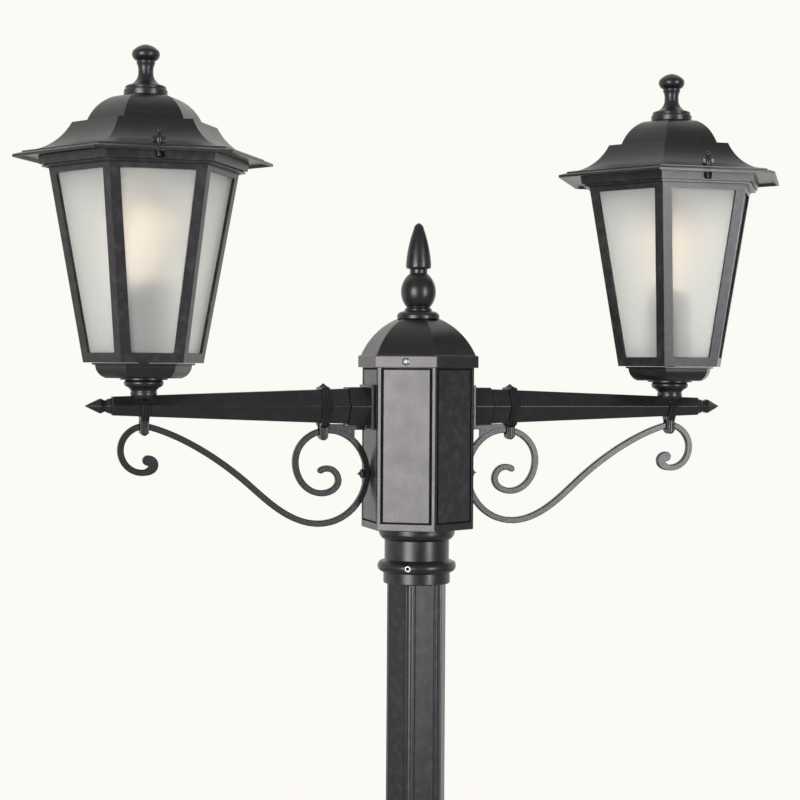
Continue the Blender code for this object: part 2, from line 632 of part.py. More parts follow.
def window_piece(name, side, face, grow, depth, thickness, finish):
    """A tapered slab parallel to one cage face: a window cutter or a pane, depth behind the face."""
    low, high = WINDOW_BOTTOM_Z, WINDOW_TOP_Z
    width_low = frame_radius(low) - 2 * STILE + 2 * grow
    width_high = frame_radius(high) - 2 * STILE + 2 * grow
    tall = (high - low) / math.cos(FRAME_TILT) + 2 * grow
    slab = block(name, (width_low, thickness, tall), (0, 0, 0), finish, (width_high / width_low, 1.0))
    middle = (low + high) / 2
    turn = Matrix.Rotation(math.radians(60 * face), 4, "Z")
    lean = Matrix.Rotation(FRAME_TILT, 4, "X")
    out = Matrix.Translation((0, -frame_radius(middle) * COS30, middle))
    inwards = Matrix.Translation((0, depth + thickness / 2, 0))
    slab.matrix_world = Matrix.Translation((side * LANTERN_X, 0, 0)) @ turn @ out @ lean @ inwards
    return slab


def make_cage(label, side, head):
    """Six-sided tapered cage with its windows, panes, latch notch and hinge knuckle."""
    wall = FRAME_WALL / COS30 / math.cos(FRAME_TILT)
    x = side * LANTERN_X
    floor = FRAME_BOTTOM_Z + 3.2 * MM
    profile = [(BAND_R, BAND_TOP), (BAND_R - 1.6 * MM, 2078.5 * MM), (BAND_R - 5 * MM, 2078.5 * MM),
               (BAND_R - 5 * MM, FRAME_TOP_Z), (FRAME_TOP_R, FRAME_TOP_Z), (FRAME_BOTTOM_R, FRAME_BOTTOM_Z),
               (7 * MM, FRAME_BOTTOM_Z), (7 * MM, floor), (frame_radius(floor) - wall, floor),
               (FRAME_TOP_R - wall, FRAME_TOP_Z), (BAND_R - 8.5 * MM, 2079.6 * MM),
               (BAND_R - 5 * MM, 2081.0 * MM), (BAND_R - 5 * MM, BAND_TOP)]
    cage = turned(f"{label}_lantern_frame", profile, BLACK, 6, closed=True)
    cage.location.x = x
    for face in range(6):
        boolean(cage, window_piece(f"{label}_window_{face + 1}", side, face, 0.0, -6 * MM, 20 * MM, None))
        pane = window_piece(f"{label}_pane_{face + 1}", side, face, PANE_LAP, FRAME_WALL + GAP,
                            PANE_THICKNESS, FROSTED)
        hang(pane, head)
    boolean(cage, block(f"{label}_latch_notch", (7.8 * MM, 12 * MM, 10 * MM), (x, -88 * MM, 2084.6 * MM),
                        None))
    boolean(cage, rod(f"{label}_cage_knuckle", KNUCKLE_R, 20 * MM, (x, HINGE_Y, HINGE_Z), "X"), "UNION")
    root = block(f"{label}_cage_knuckle_root", (20 * MM, 8 * MM, 6.4 * MM),
                 (x, HINGE_Y - 5 * MM, HINGE_Z - 0.6 * MM), None)
    boolean(cage, root, "UNION")
    boolean(cage, rod(f"{label}_cage_pin_hole", PIN_R + GAP, 24 * MM, (x, HINGE_Y, HINGE_Z), "X"))
    hang(cage, head)


def make_lamp(label, side, head):
    """Lamp holder on the cage floor, and the opal lamp screwed in it."""
    holder_top, floor = 1966.0, 1891.1
    holder = turned(f"{label}_lamp_holder", in_mm([
        (18.5, holder_top), (20.0, holder_top - 1.5), (20.0, 1899.0), (17.0, floor), (5.6, floor),
        (5.6, 1900.0), (3.4, 1900.0), (3.4, 1930.0), (14.0, 1932.0),
        (14.0, holder_top)]), HOLDER, closed=True)
    holder.location.x = side * LANTERN_X
    hang(holder, head)
    glass = arc((0.0, 2056.0), (26.5, 2011.5), 13.0, 7) + arc((26.5, 2011.5), (13.4, 1970.0), -1.6, 2)[1:]
    base = [(13.2, 1966.5), (13.2, 1942.0), (8.5, 1936.5), (0.0, 1935.5)]
    bulb = turned(f"{label}_bulb", in_mm(glass + base), BULB_GLASS)
    bulb.location.x = side * LANTERN_X
    hang(bulb, head)


def make_roof(label, side, head):
    """Hinged roof with its knob, the hinge pin, and the wing screw that locks it."""
    x = side * LANTERN_X
    hinge = empty(f"{label}_roof_hinge", (x, HINGE_Y, HINGE_Z), head)
    dome = arc((31.5, 2147.5), (57.4, 2122.2), 4.0, 5)
    flare = arc((71.6, 2120.8), (106.5, 2092.9), -4.6, 6)
    under = ROOF_UNDER / MM
    inner = ([(126.2, 2084.7), (122.0, under), (92.0, under), (72.0, 2112.0), (68.0, 2117.6), (54.0, 2118.4)]
             + arc((54.0, 2119.5), (29.8, 2144.3), -3.6, 3))
    profile = ([(5.2, 2147.5)] + dome + [(57.8, 2121.4)] + flare + [(119.2, 2090.9), (119.2, 2089.7),
               (BRIM_R / MM, 2087.5), (BRIM_R / MM, 2084.7)] + inner + [(5.2, 2144.3)])
    roof = turned(f"{label}_roof", in_mm(profile), BLACK, 6, closed=True)
    roof.location.x = x
    for i, offset in enumerate((-13.9, 13.9), start=1):
        spot = x + offset * MM
        knuckle = rod(f"{label}_roof_knuckle_{i}", KNUCKLE_R, 6.6 * MM, (spot, HINGE_Y, HINGE_Z), "X")
        root = block(f"{label}_roof_knuckle_root_{i}", (6.6 * MM, 2 * KNUCKLE_R, 7 * MM),
                     (spot, HINGE_Y, HINGE_Z + 3.5 * MM), None)
        boolean(roof, knuckle, "UNION")
        boolean(roof, root, "UNION")
    boolean(roof, rod(f"{label}_roof_pin_hole", PIN_R + GAP, 50 * MM, (x, HINGE_Y, HINGE_Z), "X"))
    wing_x = x + WING_OFFSET
    boolean(roof, rod(f"{label}_wing_hole", 2.4 * MM, 30 * MM, (wing_x, WING_Y, WING_SEAT), "Z"))
    boolean(roof, rod(f"{label}_wing_seat", 7.4 * MM, 10 * MM, (wing_x, WING_Y, WING_SEAT + 5 * MM), "Z", 24))
    hang(roof, hinge)

    knob = (arc((0.0, 2199.8), (12.9, 2193.2), 1.4, 3) + arc((12.9, 2193.2), (10.2, 2184.2), 1.9, 4)[1:]
            + [(8.9, 2183.4), (9.0, 2181.2), (7.8, 2179.6), (7.4, 2173.0)]
            + arc((7.9, 2169.0), (18.3, 2159.1), -2.0, 3)
            + [(20.0, 2158.0), (20.0, 2155.4), (21.4, 2154.6), (21.4, 2149.6), (20.4, 2147.8), (4.0, 2147.8),
               (4.0, 2137.0), (0.0, 2137.0)])
    top = turned(f"{label}_roof_knob", in_mm(knob), BLACK)
    top.location.x = x
    hang(top, hinge)

    pin = turned(f"{label}_hinge_pin", in_mm([(0, 19.6), (3.2, 19.4), (3.2, 17.5), (2.0, 17.5), (2.0, -17.5),
                                             (3.2, -17.5), (3.2, -19.4), (0, -19.6)]), SCREW_STEEL, 12)
    pin.matrix_world = Matrix.Translation((x, HINGE_Y, HINGE_Z)) @ Matrix.Rotation(math.pi / 2, 4, "Y")
    hang(pin, head)

    shank = [(0, 14.2), (1.7, 13.4), (2.6, 11.4), (2.6, 10.0), (1.9, 9.4), (2.9, 8.4), (3.5, 0.3), (2.0, 0.3),
             (2.0, -12.6), (0, -12.6)]
    screw = turned(f"{label}_wing_screw", in_mm(shank), BLACK, 12)
    screw.location = (wing_x, WING_Y, WING_SEAT)
    wing = [(1.0, 0.9), (4.6, 2.2), (6.4, 4.6), (6.2, 6.6), (4.6, 6.8), (1.0, 4.6)]
    other_wing = [(-u, v) for u, v in reversed(wing)]
    wings = plate(f"{label}_wing_blades", [in_mm(wing + other_wing)], 1.8 * MM, None)
    upright = Matrix.Rotation(math.pi / 2, 4, "X")
    wings.matrix_world = Matrix.Translation((wing_x, WING_Y, WING_SEAT)) @ upright
    boolean(screw, wings, "UNION")
    hang(screw, hinge)


# ---- leads ----------------------------------------------------------------------------------
def smooth_route(knots, per_span):
    """Points on a smooth curve through the knots."""
    ends = [2 * knots[0] - knots[1]] + knots + [2 * knots[-1] - knots[-2]]
    points = []
    for i in range(1, len(ends) - 2):
        before, here, there, after = ends[i - 1:i + 3]
        for step in range(per_span):
            t = step / per_span
            points.append(0.5 * (2 * here + (there - before) * t
                                 + (2 * before - 5 * here + 4 * there - after) * t * t
                                 + (3 * here - before - 3 * there + after) * t ** 3))
    points.append(knots[-1])
    return points


def make_lead(label, side, head):
    """Lead from the terminal block through the arm and up the stem into the lamp holder."""
    arm_z, stem_x = ARM_Z / MM, LANTERN_X / MM
    knots = [Vector((side * x * MM, y * MM, z * MM)) for x, y, z in (
        (10, 29, LEAD_FLOOR_Z / MM), (11, 27, 1775), (20, 14, 1815), (38, 2, 1842), (60, 0, arm_z),
        (110, 0, arm_z), (180, 0, arm_z), (255, 0, arm_z), (270, 0, 1845.6), (278.8, 0, 1849.5),
        (stem_x, 0, 1857), (stem_x, 0, 1890), (stem_x, 0, 1924))]
    curve = bpy.data.curves.new(f"{label}_lead", "CURVE")
    curve.dimensions = "3D"
    curve.bevel_depth = LEAD_R
    curve.bevel_resolution = 1
    curve.use_fill_caps = True
    route = smooth_route(knots, 2)
    spline = curve.splines.new("POLY")
    spline.points.add(len(route) - 1)
    for point, spot in zip(spline.points, route):
        point.co = (*spot, 1.0)
    lead = place(bpy.data.objects.new(f"{label}_lead", curve), f"{label}_lead", LEAD_SKIN)
    hang(lead, head)


# ---- assembly -------------------------------------------------------------------------------
def main():
    clear_scene()
    make_base()
    make_pole()
    head = empty("head_swivel", (0, 0, SET_SCREW_Z))
    make_neck_collar(head)
    housing = make_housing(head)
    make_cap(head, housing)
    make_terminal_block(head)
    for label, side in (("left", -1), ("right", 1)):
        make_arm(label, side, head)
        make_scroll(label, side, head)
        make_stem(label, side, head)
        make_cup(label, side, head)
        make_cage(label, side, head)
        make_lamp(label, side, head)
        make_roof(label, side, head)
        make_lead(label, side, head)


main()
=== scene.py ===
"""Looks of the two-arm street lamp post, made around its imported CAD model.

Metres, +Z up, in the CAD's frame: X runs along the two arms and -Y is the front.  Profiles are
lists of (radius, height) in millimetres, as in the part's own source.
"""
import math

import bmesh
import bpy
from mathutils import Matrix, Vector


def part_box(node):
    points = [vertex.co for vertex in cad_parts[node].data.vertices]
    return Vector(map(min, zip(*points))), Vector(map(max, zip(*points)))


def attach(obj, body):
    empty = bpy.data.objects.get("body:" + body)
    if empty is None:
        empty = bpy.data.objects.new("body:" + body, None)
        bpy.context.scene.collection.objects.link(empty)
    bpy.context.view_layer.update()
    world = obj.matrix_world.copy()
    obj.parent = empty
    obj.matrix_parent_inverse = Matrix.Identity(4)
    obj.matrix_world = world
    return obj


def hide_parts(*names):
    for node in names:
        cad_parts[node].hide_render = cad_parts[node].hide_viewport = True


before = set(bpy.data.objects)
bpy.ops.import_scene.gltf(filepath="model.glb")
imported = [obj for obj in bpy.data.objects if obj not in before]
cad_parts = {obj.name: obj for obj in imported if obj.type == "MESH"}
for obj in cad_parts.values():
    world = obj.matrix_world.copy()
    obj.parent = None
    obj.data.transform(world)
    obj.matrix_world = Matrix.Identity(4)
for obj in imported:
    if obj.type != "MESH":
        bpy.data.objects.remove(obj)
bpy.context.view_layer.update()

# ---- sizes --------------------------------------------------------------------------------------
MM = 0.001
COS30 = math.cos(math.radians(30))
SIDES = {"left": -1, "right": 1}
FINE = 96                               # sides of a turned piece
WELD, CAD_WELD = 0.000002, 0.000004     # points closer than this become one


def centre_of(node):
    """Middle of a CAD node's box."""
    low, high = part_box(node)
    return (low + high) / 2


LANTERN_X = centre_of("right_lamp_holder").x
ARM_Z = centre_of("right_arm").z
POLE_LOW, POLE_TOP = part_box("pole")[0].z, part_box("pole")[1].z
HOUSING_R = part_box("housing")[1].y      # its corners point to the front and back
HOUSING_LOW, HOUSING_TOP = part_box("housing")[0].z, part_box("housing")[1].z
HEX_FACE = HOUSING_R * COS30
ARM_START_X, ARM_END_X = 76.3 * MM, 313.5 * MM
ARM_HALF_START, ARM_HALF_END = 17.7 * MM, 9.2 * MM
GROOVE_SHALLOW, GROOVE_DEEP = 0.45 * MM, 1.7 * MM    # faces this far in belong to a panel's groove
GROOVE_BELOW_TOP, GROOVE_ABOVE_LOW = 5 * MM, 4 * MM  # and they lie this far from the housing's ends
ANCHOR_CIRCLE_R, ANCHOR_HOLE_R = 95 * MM, 5.5 * MM
HINGE_Y, HINGE_Z = 95.0 * MM, 2082.5 * MM
KNUCKLE_R, PIN_HOLE_R = 3.8 * MM, 2.3 * MM
ROOF_KNUCKLE_X, ROOF_KNUCKLE_WIDE = 13.9 * MM, 6.6 * MM
WING_OFFSET, WING_Y, WING_SEAT = -1.8 * MM, -92.6 * MM, 2093.0 * MM
SET_SCREW_Z, CAP_SCREW_Z, SCROLL_BOLT_Z = 1682.5 * MM, 1890.6 * MM, 1776.8 * MM
SET_SCREW_DEGREES = (-120, 0, 120)
CAP_SCREW_DEGREES = {"front": -120, "rear": 60}
FRAME_TOP_R, FRAME_TOP_Z = 93.6 * MM, 2075.2 * MM
FRAME_LOW_R, FRAME_LOW_Z = 59.4 * MM, 1887.6 * MM
FRAME_WALL = 3.0 * MM
WINDOW_LOW, WINDOW_HIGH, STILE = 1896.8 * MM, 2070.3 * MM, 10.0 * MM
FRAME_TILT = math.atan((FRAME_TOP_R - FRAME_LOW_R) * COS30 / (FRAME_TOP_Z - FRAME_LOW_Z))
BAR_DEPTH, BAR_WIDTH, BAR_CHAMFER = 6.0 * MM, 6.2 * MM, 0.8 * MM


# ---- materials ----------------------------------------------------------------------------------
class Nodes:
    """Small helper that adds nodes to a material and links them."""

    def __init__(self, name):
        self.material = bpy.data.materials.new(name)
        self.material.use_nodes = True
        self.tree = self.material.node_tree
        self.shader = self.tree.nodes["Principled BSDF"]
        self.place = self.add("ShaderNodeTexCoord").outputs["Object"]

    def add(self, kind, **inputs):
        """Add a node and set or link its inputs; an underscore stands for a space."""
        node = self.tree.nodes.new(kind)
        for label, value in inputs.items():
            socket = node.inputs[label.replace("_", " ")]
            if isinstance(value, bpy.types.NodeSocket):
                self.tree.links.new(value, socket)
            else:
                socket.default_value = value
        return node

    def noise(self, scale, detail=2.0, roughness=0.5, distortion=0.0):
        """Noise over the object's own metres; scale is features per metre."""
        node = self.add("ShaderNodeTexNoise", Vector=self.place, Scale=scale, Detail=detail,
                        Roughness=roughness, Distortion=distortion)
        return node.outputs["Fac"]

    def span(self, value, low, high, start=0.3, end=0.7):
        """Map a value in start to end onto low to high."""
        node = self.add("ShaderNodeMapRange", Value=value, From_Min=start, From_Max=end,
                        To_Min=low, To_Max=high)
        return node.outputs["Result"]

    def math(self, operation, first, second):
        """Clamped arithmetic on two values."""
        node = self.tree.nodes.new("ShaderNodeMath")
        node.operation = operation
        node.use_clamp = True
        for socket, value in zip(node.inputs, (first, second)):
            if isinstance(value, bpy.types.NodeSocket):
                self.tree.links.new(value, socket)
            else:
                socket.default_value = value
        return node.outputs["Value"]

    def mix(self, factor, first, second):
        """Mix two colours."""
        node = self.tree.nodes.new("ShaderNodeMix")
        node.data_type = "RGBA"
        colours = [socket for socket in node.inputs if socket.type == "RGBA"]
        self.tree.links.new(factor, node.inputs[0])
        for socket, value in zip(colours, (first, second)):
            if isinstance(value, bpy.types.NodeSocket):
                self.tree.links.new(value, socket)
            else:
                socket.default_value = (*value, 1.0)
        return [socket for socket in node.outputs if socket.type == "RGBA"][0]

    def bump(self, height, distance, strength, under=None):
        """Bump from a height, on top of another bump if one is given."""
        node = self.add("ShaderNodeBump", Height=height, Distance=distance, Strength=strength)
        if under is not None:
            self.tree.links.new(under, node.inputs["Normal"])
        return node.outputs["Normal"]

    def to(self, label, value):
        """Set a socket of the shader, or link something to it."""
        if isinstance(value, bpy.types.NodeSocket):
            self.tree.links.new(value, self.shader.inputs[label])
        else:
            self.shader.inputs[label].default_value = value


def powder_coat(name, grain=1.0, dust=1.0, mottle=1.0):
    """Black powder coat: orange peel, cloudy gloss, a little dust on top, and lighter edges that are partly
    coat worn thin and partly a painted highlight.
    """
    m = Nodes(name)
    cloud = m.span(m.noise(14.0, 4.0), 0.0, 1.0)
    colour = m.mix(cloud, (0.0072, 0.0066, 0.0074), (0.0092, 0.0085, 0.0094))
    geometry = m.add("ShaderNodeNewGeometry")
    # lighter edges: partly coat worn thin, partly a painted highlight along the edges
    edge = m.span(geometry.outputs["Pointiness"], 0.0, 1.0, 0.515, 0.58)
    worn_and_edge_highlight = m.math("MULTIPLY", edge, m.span(m.noise(120.0, 3.0), 0.0, 0.6, 0.45, 0.75))
    colour = m.mix(worn_and_edge_highlight, colour, (0.040, 0.038, 0.040))
    up = m.add("ShaderNodeSeparateXYZ", Vector=m.add("ShaderNodeTexCoord").outputs["Normal"])
    flat = m.span(up.outputs["Z"], 0.0, 1.0, 0.55, 1.0)
    dusty = m.math("MULTIPLY", flat, m.span(m.noise(60.0, 5.0, 0.65), 0.0, 0.10 * dust, 0.42, 0.72))
    colour = m.mix(dusty, colour, (0.20, 0.19, 0.175))
    m.to("Base Color", colour)
    rough = m.span(m.noise(60.0, 4.0, 0.6), 0.31 - 0.025 * mottle, 0.31 + 0.025 * mottle)
    m.to("Roughness", m.math("ADD", rough, m.math("MULTIPLY", dusty, 0.8)))
    m.to("IOR", 1.47)
    m.to("Specular Tint", (1.0, 0.955, 1.0, 1.0))
    peel = m.bump(m.noise(1100.0, 2.0), 0.00022 * grain, 0.35)
    m.to("Normal", m.bump(m.noise(260.0, 2.0), 0.00025 * grain, 0.2, peel))
    return m.material


def bright_steel(name):
    """Zinc-bright screw steel with fine turning marks."""
    m = Nodes(name)
    m.to("Metallic", 1.0)
    m.to("Base Color", m.mix(m.span(m.noise(300.0, 3.0), 0.0, 1.0), (0.20, 0.20, 0.195), (0.28, 0.277, 0.27)))
    m.to("Roughness", m.span(m.noise(900.0, 2.0), 0.34, 0.48))
    m.to("Normal", m.bump(m.noise(1500.0, 2.0), 0.00004, 0.5))
    return m.material


def frosted_glass(name):
    """Satin-etched window glass."""
    m = Nodes(name)
    cloud = m.span(m.noise(22.0, 3.0), 0.0, 1.0)
    m.to("Base Color", m.mix(cloud, (0.975, 0.985, 0.965), (0.99, 0.995, 0.98)))
    m.to("Transmission Weight", 0.90)
    m.to("IOR", 1.4)
    m.to("Roughness", m.span(m.noise(40.0, 4.0), 0.54, 0.60))
    m.to("Normal", m.bump(m.noise(1400.0, 2.0), 0.00005, 0.35))
    return m.material


def opal_glass(name):
    """Opal lamp envelope with a warm glow."""
    m = Nodes(name)
    m.to("Base Color", m.mix(m.span(m.noise(45.0, 2.0), 0.0, 1.0), (0.93, 0.80, 0.66), (0.97, 0.86, 0.74)))
    m.to("Roughness", m.span(m.noise(80.0, 3.0), 0.28, 0.38))
    m.to("Emission Color", m.mix(m.span(m.noise(30.0, 1.0), 0.0, 1.0), (1.0, 0.58, 0.32), (1.0, 0.66, 0.40)))
    m.to("Emission Strength", 0.22)
    m.to("Normal", m.bump(m.noise(500.0, 2.0), 0.00003, 0.4))
    return m.material


def moulding(name, light, dark, roughness=0.45, grain=700.0):
    """Moulded plastic or rubber with a fine grain."""
    m = Nodes(name)
    m.to("Base Color", m.mix(m.span(m.noise(40.0, 4.0), 0.0, 1.0), dark, light))
    m.to("Roughness", m.span(m.noise(90.0, 3.0), roughness - 0.06, roughness + 0.08))
    m.to("Normal", m.bump(m.noise(grain, 2.0), 0.00008, 0.5))
    return m.material


def brass(name):
    """Brass terminal screw or lamp base."""
    m = Nodes(name)
    m.to("Metallic", 1.0)
    m.to("Base Color", m.mix(m.span(m.noise(150.0, 3.0), 0.0, 1.0), (0.62, 0.50, 0.30), (0.78, 0.66, 0.42)))
    m.to("Roughness", m.span(m.noise(300.0, 3.0), 0.25, 0.42))
    m.to("Normal", m.bump(m.noise(900.0, 2.0), 0.00004, 0.5))
    return m.material


COAT = powder_coat("coat_casting")
COAT_FLAT = powder_coat("coat_sheet", grain=1.1, mottle=1.5)
COAT_TUBE = powder_coat("coat_tube", grain=0.7, dust=0.4)
# dark matte material with weak reflection: painted shade for the floor and walls of the housing's panel
# grooves
GROOVE_SHADE = moulding("groove_painted_shade", (0.010, 0.010, 0.011), (0.004, 0.004, 0.005), 0.80)
GROOVE_SHADE.node_tree.nodes["Principled BSDF"].inputs["Specular IOR Level"].default_value = 0.12
STEEL = bright_steel("screw_steel")
GLASS = frosted_glass("window_frosted_glass")
OPAL = opal_glass("lamp_opal")
HOLDER = moulding("holder_plastic", (0.050, 0.050, 0.054), (0.030, 0.030, 0.033))
SHEATH = moulding("lead_sheath", (0.040, 0.040, 0.042), (0.022, 0.022, 0.024), 0.55)
TERMINAL = moulding("terminal_plastic", (0.74, 0.72, 0.66), (0.62, 0.60, 0.54), 0.48)
BRASS = brass("brass")


# ---- mesh helpers -------------------------------------------------------------------------------
def in_mm(points):
    """Scale a list of points given in millimetres to metres."""
    return [tuple(value * MM for value in point) for point in points]


def arc(start, end, rise, count):
    """Points from start to end on an arc that bulges by rise to the left of that direction."""
    start, end = Vector(start), Vector(end)
    chord = end - start
    side = Vector((-chord.y, chord.x)).normalized()
    radius = (chord.length_squared / 4 + rise * rise) / (2 * abs(rise))
    middle = (start + end) / 2 + side * (rise - math.copysign(radius, rise))
    first, last = start - middle, end - middle
    turn = math.atan2(first.x * last.y - first.y * last.x, first.dot(last))
    points = []
    for i in range(count + 1):
        c, s = math.cos(turn * i / count), math.sin(turn * i / count)
        points.append((middle.x + c * first.x - s * first.y, middle.y + s * first.x + c * first.y))
    return points


def solid(name, bm):
    """Make an object of a bmesh, with welded points and faces that point out."""
    bmesh.ops.remove_doubles(bm, verts=bm.verts, dist=WELD)
    bmesh.ops.recalc_face_normals(bm, faces=bm.faces)
    mesh = bpy.data.meshes.new(name)
    bm.to_mesh(mesh)
    bm.free()
    obj = bpy.data.objects.new(name, mesh)
    bpy.context.scene.collection.objects.link(obj)
    return obj


def turned(name, profile, sides=FINE, closed=False):
    """Turn a profile of (radius, height) in metres about Z."""
    bm = bmesh.new()
    verts = [bm.verts.new((radius, 0.0, height)) for radius, height in profile]
    edges = [bm.edges.new(pair) for pair in zip(verts, verts[1:])]
    if closed:
        edges.append(bm.edges.new((verts[-1], verts[0])))
    bmesh.ops.spin(bm, geom=verts + edges, angle=2 * math.pi, steps=sides, axis=(0, 0, 1),
                   cent=(0, 0, 0), use_merge=True)
    return solid(name, bm)


def loft(name, rings, ends=True):
    """Skin rings of points, all with the same count; the ends are capped."""
    bm = bmesh.new()
    loops = [[bm.verts.new(point) for point in ring] for ring in rings]
    for low, high in zip(loops, loops[1:]):
        for i in range(len(low)):
            j = (i + 1) % len(low)
            bm.faces.new((low[i], low[j], high[j], high[i]))
    if ends:
        bm.faces.new(loops[0][::-1])
        bm.faces.new(loops[-1])
    return solid(name, bm)


def block(name, size, centre, turn=Matrix.Identity(4)):
    """A box."""
    bm = bmesh.new()
    place = Matrix.Translation(centre) @ turn @ Matrix.Diagonal((*size, 1))
    bmesh.ops.create_cube(bm, size=1.0, matrix=place)
    return solid(name, bm)


def rod(name, radius, length, matrix, sides=48):
    """A round bar about its matrix's Z."""
    bm = bmesh.new()
    bmesh.ops.create_cone(bm, cap_ends=True, segments=sides, radius1=radius, radius2=radius, depth=length,
                          matrix=matrix)
    return solid(name, bm)


def baked(obj):
    """Put an object's modifiers into its mesh."""
    graph = bpy.context.evaluated_depsgraph_get()
    mesh = bpy.data.meshes.new_from_object(obj.evaluated_get(graph))
    obj.modifiers.clear()
    obj.data = mesh
    return obj


def boolean(obj, tool, operation="DIFFERENCE"):
    """Cut an object with a tool, or join the tool to it, and remove the tool."""
    modifier = obj.modifiers.new("cut", "BOOLEAN")
    modifier.operation = operation
    modifier.solver = "EXACT"
    modifier.object = tool
    bpy.context.view_layer.update()
    baked(obj)
    bpy.data.objects.remove(tool, do_unlink=True)
    return obj


def bevelled(obj, width, segments=2, degrees=28):
    """Round every edge sharper than an angle, on a mesh whose many-sided faces are split first."""
    bm = bmesh.new()
    bm.from_mesh(obj.data)
    bmesh.ops.remove_doubles(bm, verts=bm.verts, dist=CAD_WELD)
    bmesh.ops.triangulate(bm, faces=[face for face in bm.faces if len(face.verts) > 4])
    bm.to_mesh(obj.data)
    bm.free()
    modifier = obj.modifiers.new("round_edges", "BEVEL")
    modifier.width = width
    modifier.segments = segments
    modifier.limit_method = "ANGLE"
    modifier.angle_limit = math.radians(degrees)
    modifier.miter_outer = "MITER_ARC"
    return baked(obj)


def shown(obj, body, material, nodes=(), sharp=38):
    """Finish a visible piece: shading, material, body, and the CAD nodes that it stands for."""
    obj.data.materials.clear()
    obj.data.materials.append(material)
    obj.data.shade_smooth()
    obj.data.set_sharp_from_angle(angle=math.radians(sharp))
    weigh = obj.modifiers.new("flat_faces_stay_flat", "WEIGHTED_NORMAL")
    weigh.keep_sharp = True
    weigh.weight = 100
    baked(obj)
    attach(obj, body)
    if nodes:
        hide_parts(*nodes)
    return obj


def moved(obj, matrix):
    """Move an object's mesh."""
    obj.data.transform(matrix)
    return obj


def at_lantern(obj, side):
    """Move a piece made round Z to the axis of the lantern on its side."""
    return moved(obj, Matrix.Translation((side * LANTERN_X, 0, 0)))


def along_x(obj, side, z=ARM_Z):
    """Lay a piece turned about Z along X, outwards on its side, with a corner to the front."""
    lay = Matrix.Rotation(side * math.pi / 2, 4, "Y") @ Matrix.Rotation(math.radians(30), 4, "Z")
    return moved(obj, Matrix.Translation((0.0, 0.0, z)) @ lay)


def on_wall(obj, degrees, radius, z):
    """Stand a piece turned about Z on a wall: its own +Z points outwards at the azimuth."""
    azimuth = math.radians(degrees)
    turn = Matrix.Rotation(azimuth, 4, "Z") @ Matrix.Rotation(math.pi / 2, 4, "Y")
    spot = (math.cos(azimuth) * radius, math.sin(azimuth) * radius, z)
    return moved(obj, Matrix.Translation(spot) @ turn)


def cad_copy(node, name):
    """A new piece from a CAD node's mesh, to be rounded."""
    obj = bpy.data.objects.new(name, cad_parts[node].data.copy())
    bpy.context.scene.collection.objects.link(obj)
    return obj


# ---- pole and base ------------------------------------------------------------------------------
def pole_ring(z, radius=30.0 * MM, flute=35.7, flute_depth=1.5 * MM, groove_depth=1.4 * MM):
    """Six wide hollow flutes, and between them a bead with a small groove on each side."""
    rib = 60.0 - flute
    points = []
    for sector in range(6):
        for step in range(21):
            share = step / 20 - 0.5
            depth = groove_depth * 0.5 * (1 - math.cos(2 * math.pi * min(abs(share) * 2, 1.0) ** 1.5))
            angle = math.radians(60 * sector + share * rib)
            points.append((angle, radius - depth))
        for step in range(1, 20):
            share = step / 20
            angle = math.radians(60 * sector + rib / 2 + share * flute)
            points.append((angle, radius - flute_depth * (1 - (2 * share - 1) ** 2)))
    return [(r * math.cos(a), r * math.sin(a), z) for a, r in points]


def make_pole(bore_radius=27.0 * MM):
    """Fluted tube."""
    count = len(pole_ring(0.0))
    turns = [2 * math.pi * i / count for i in range(count)]
    bore = [(bore_radius * math.cos(turn), bore_radius * math.sin(turn)) for turn in turns]
    inner_low = [(x, y, POLE_LOW) for x, y in bore]
    inner_top = [(x, y, POLE_TOP) for x, y in bore]
    rings = [inner_low, pole_ring(POLE_LOW), pole_ring(POLE_TOP), inner_top, inner_low]
    shown(loft("pole_fine", rings, ends=False), "post", COAT_TUBE, ["pole"], sharp=30)


def make_base():
    """Ground flange with its anchor holes, and the bell-shaped cover."""
    flange = turned("base_flange_fine", in_mm([
        (26.7, 110), (26.7, 8), (113.5, 8), (115, 6.5), (115, 0.0), (18, 0.0), (18, 110)]), closed=True)
    for i in range(4):
        angle = math.radians(45 + 90 * i)
        x, y = ANCHOR_CIRCLE_R * math.cos(angle), ANCHOR_CIRCLE_R * math.sin(angle)
        boolean(flange, rod("hole", ANCHOR_HOLE_R, 30 * MM, Matrix.Translation((x, y, 4 * MM)), 32))
    shown(bevelled(flange, 0.5 * MM), "post", COAT, ["base_flange"])
    outer = (arc((34, 323), (36, 318), 1.2, 5) + arc((36, 318), (33.7, 311), 1.0, 5)
             + arc((33.7, 303), (55, 128), -5.5, 24) + arc((60, 124), (60, 112), 5.4, 12)
             + arc((57, 109), (72, 38), -4, 12) + [(77, 33), (78, 30), (78, 8.3)])
    inner = ([(73, 8.3), (73, 29)] + arc((66.5, 38), (52, 107), 4, 8)
             + [(50, 125), (40, 175), (33.7, 240), (30.7, 262), (30.7, 323)])
    cover = turned("base_cover_fine", in_mm(outer + inner), closed=True)
    shown(bevelled(cover, 0.5 * MM), "post", COAT, ["base_cover"])


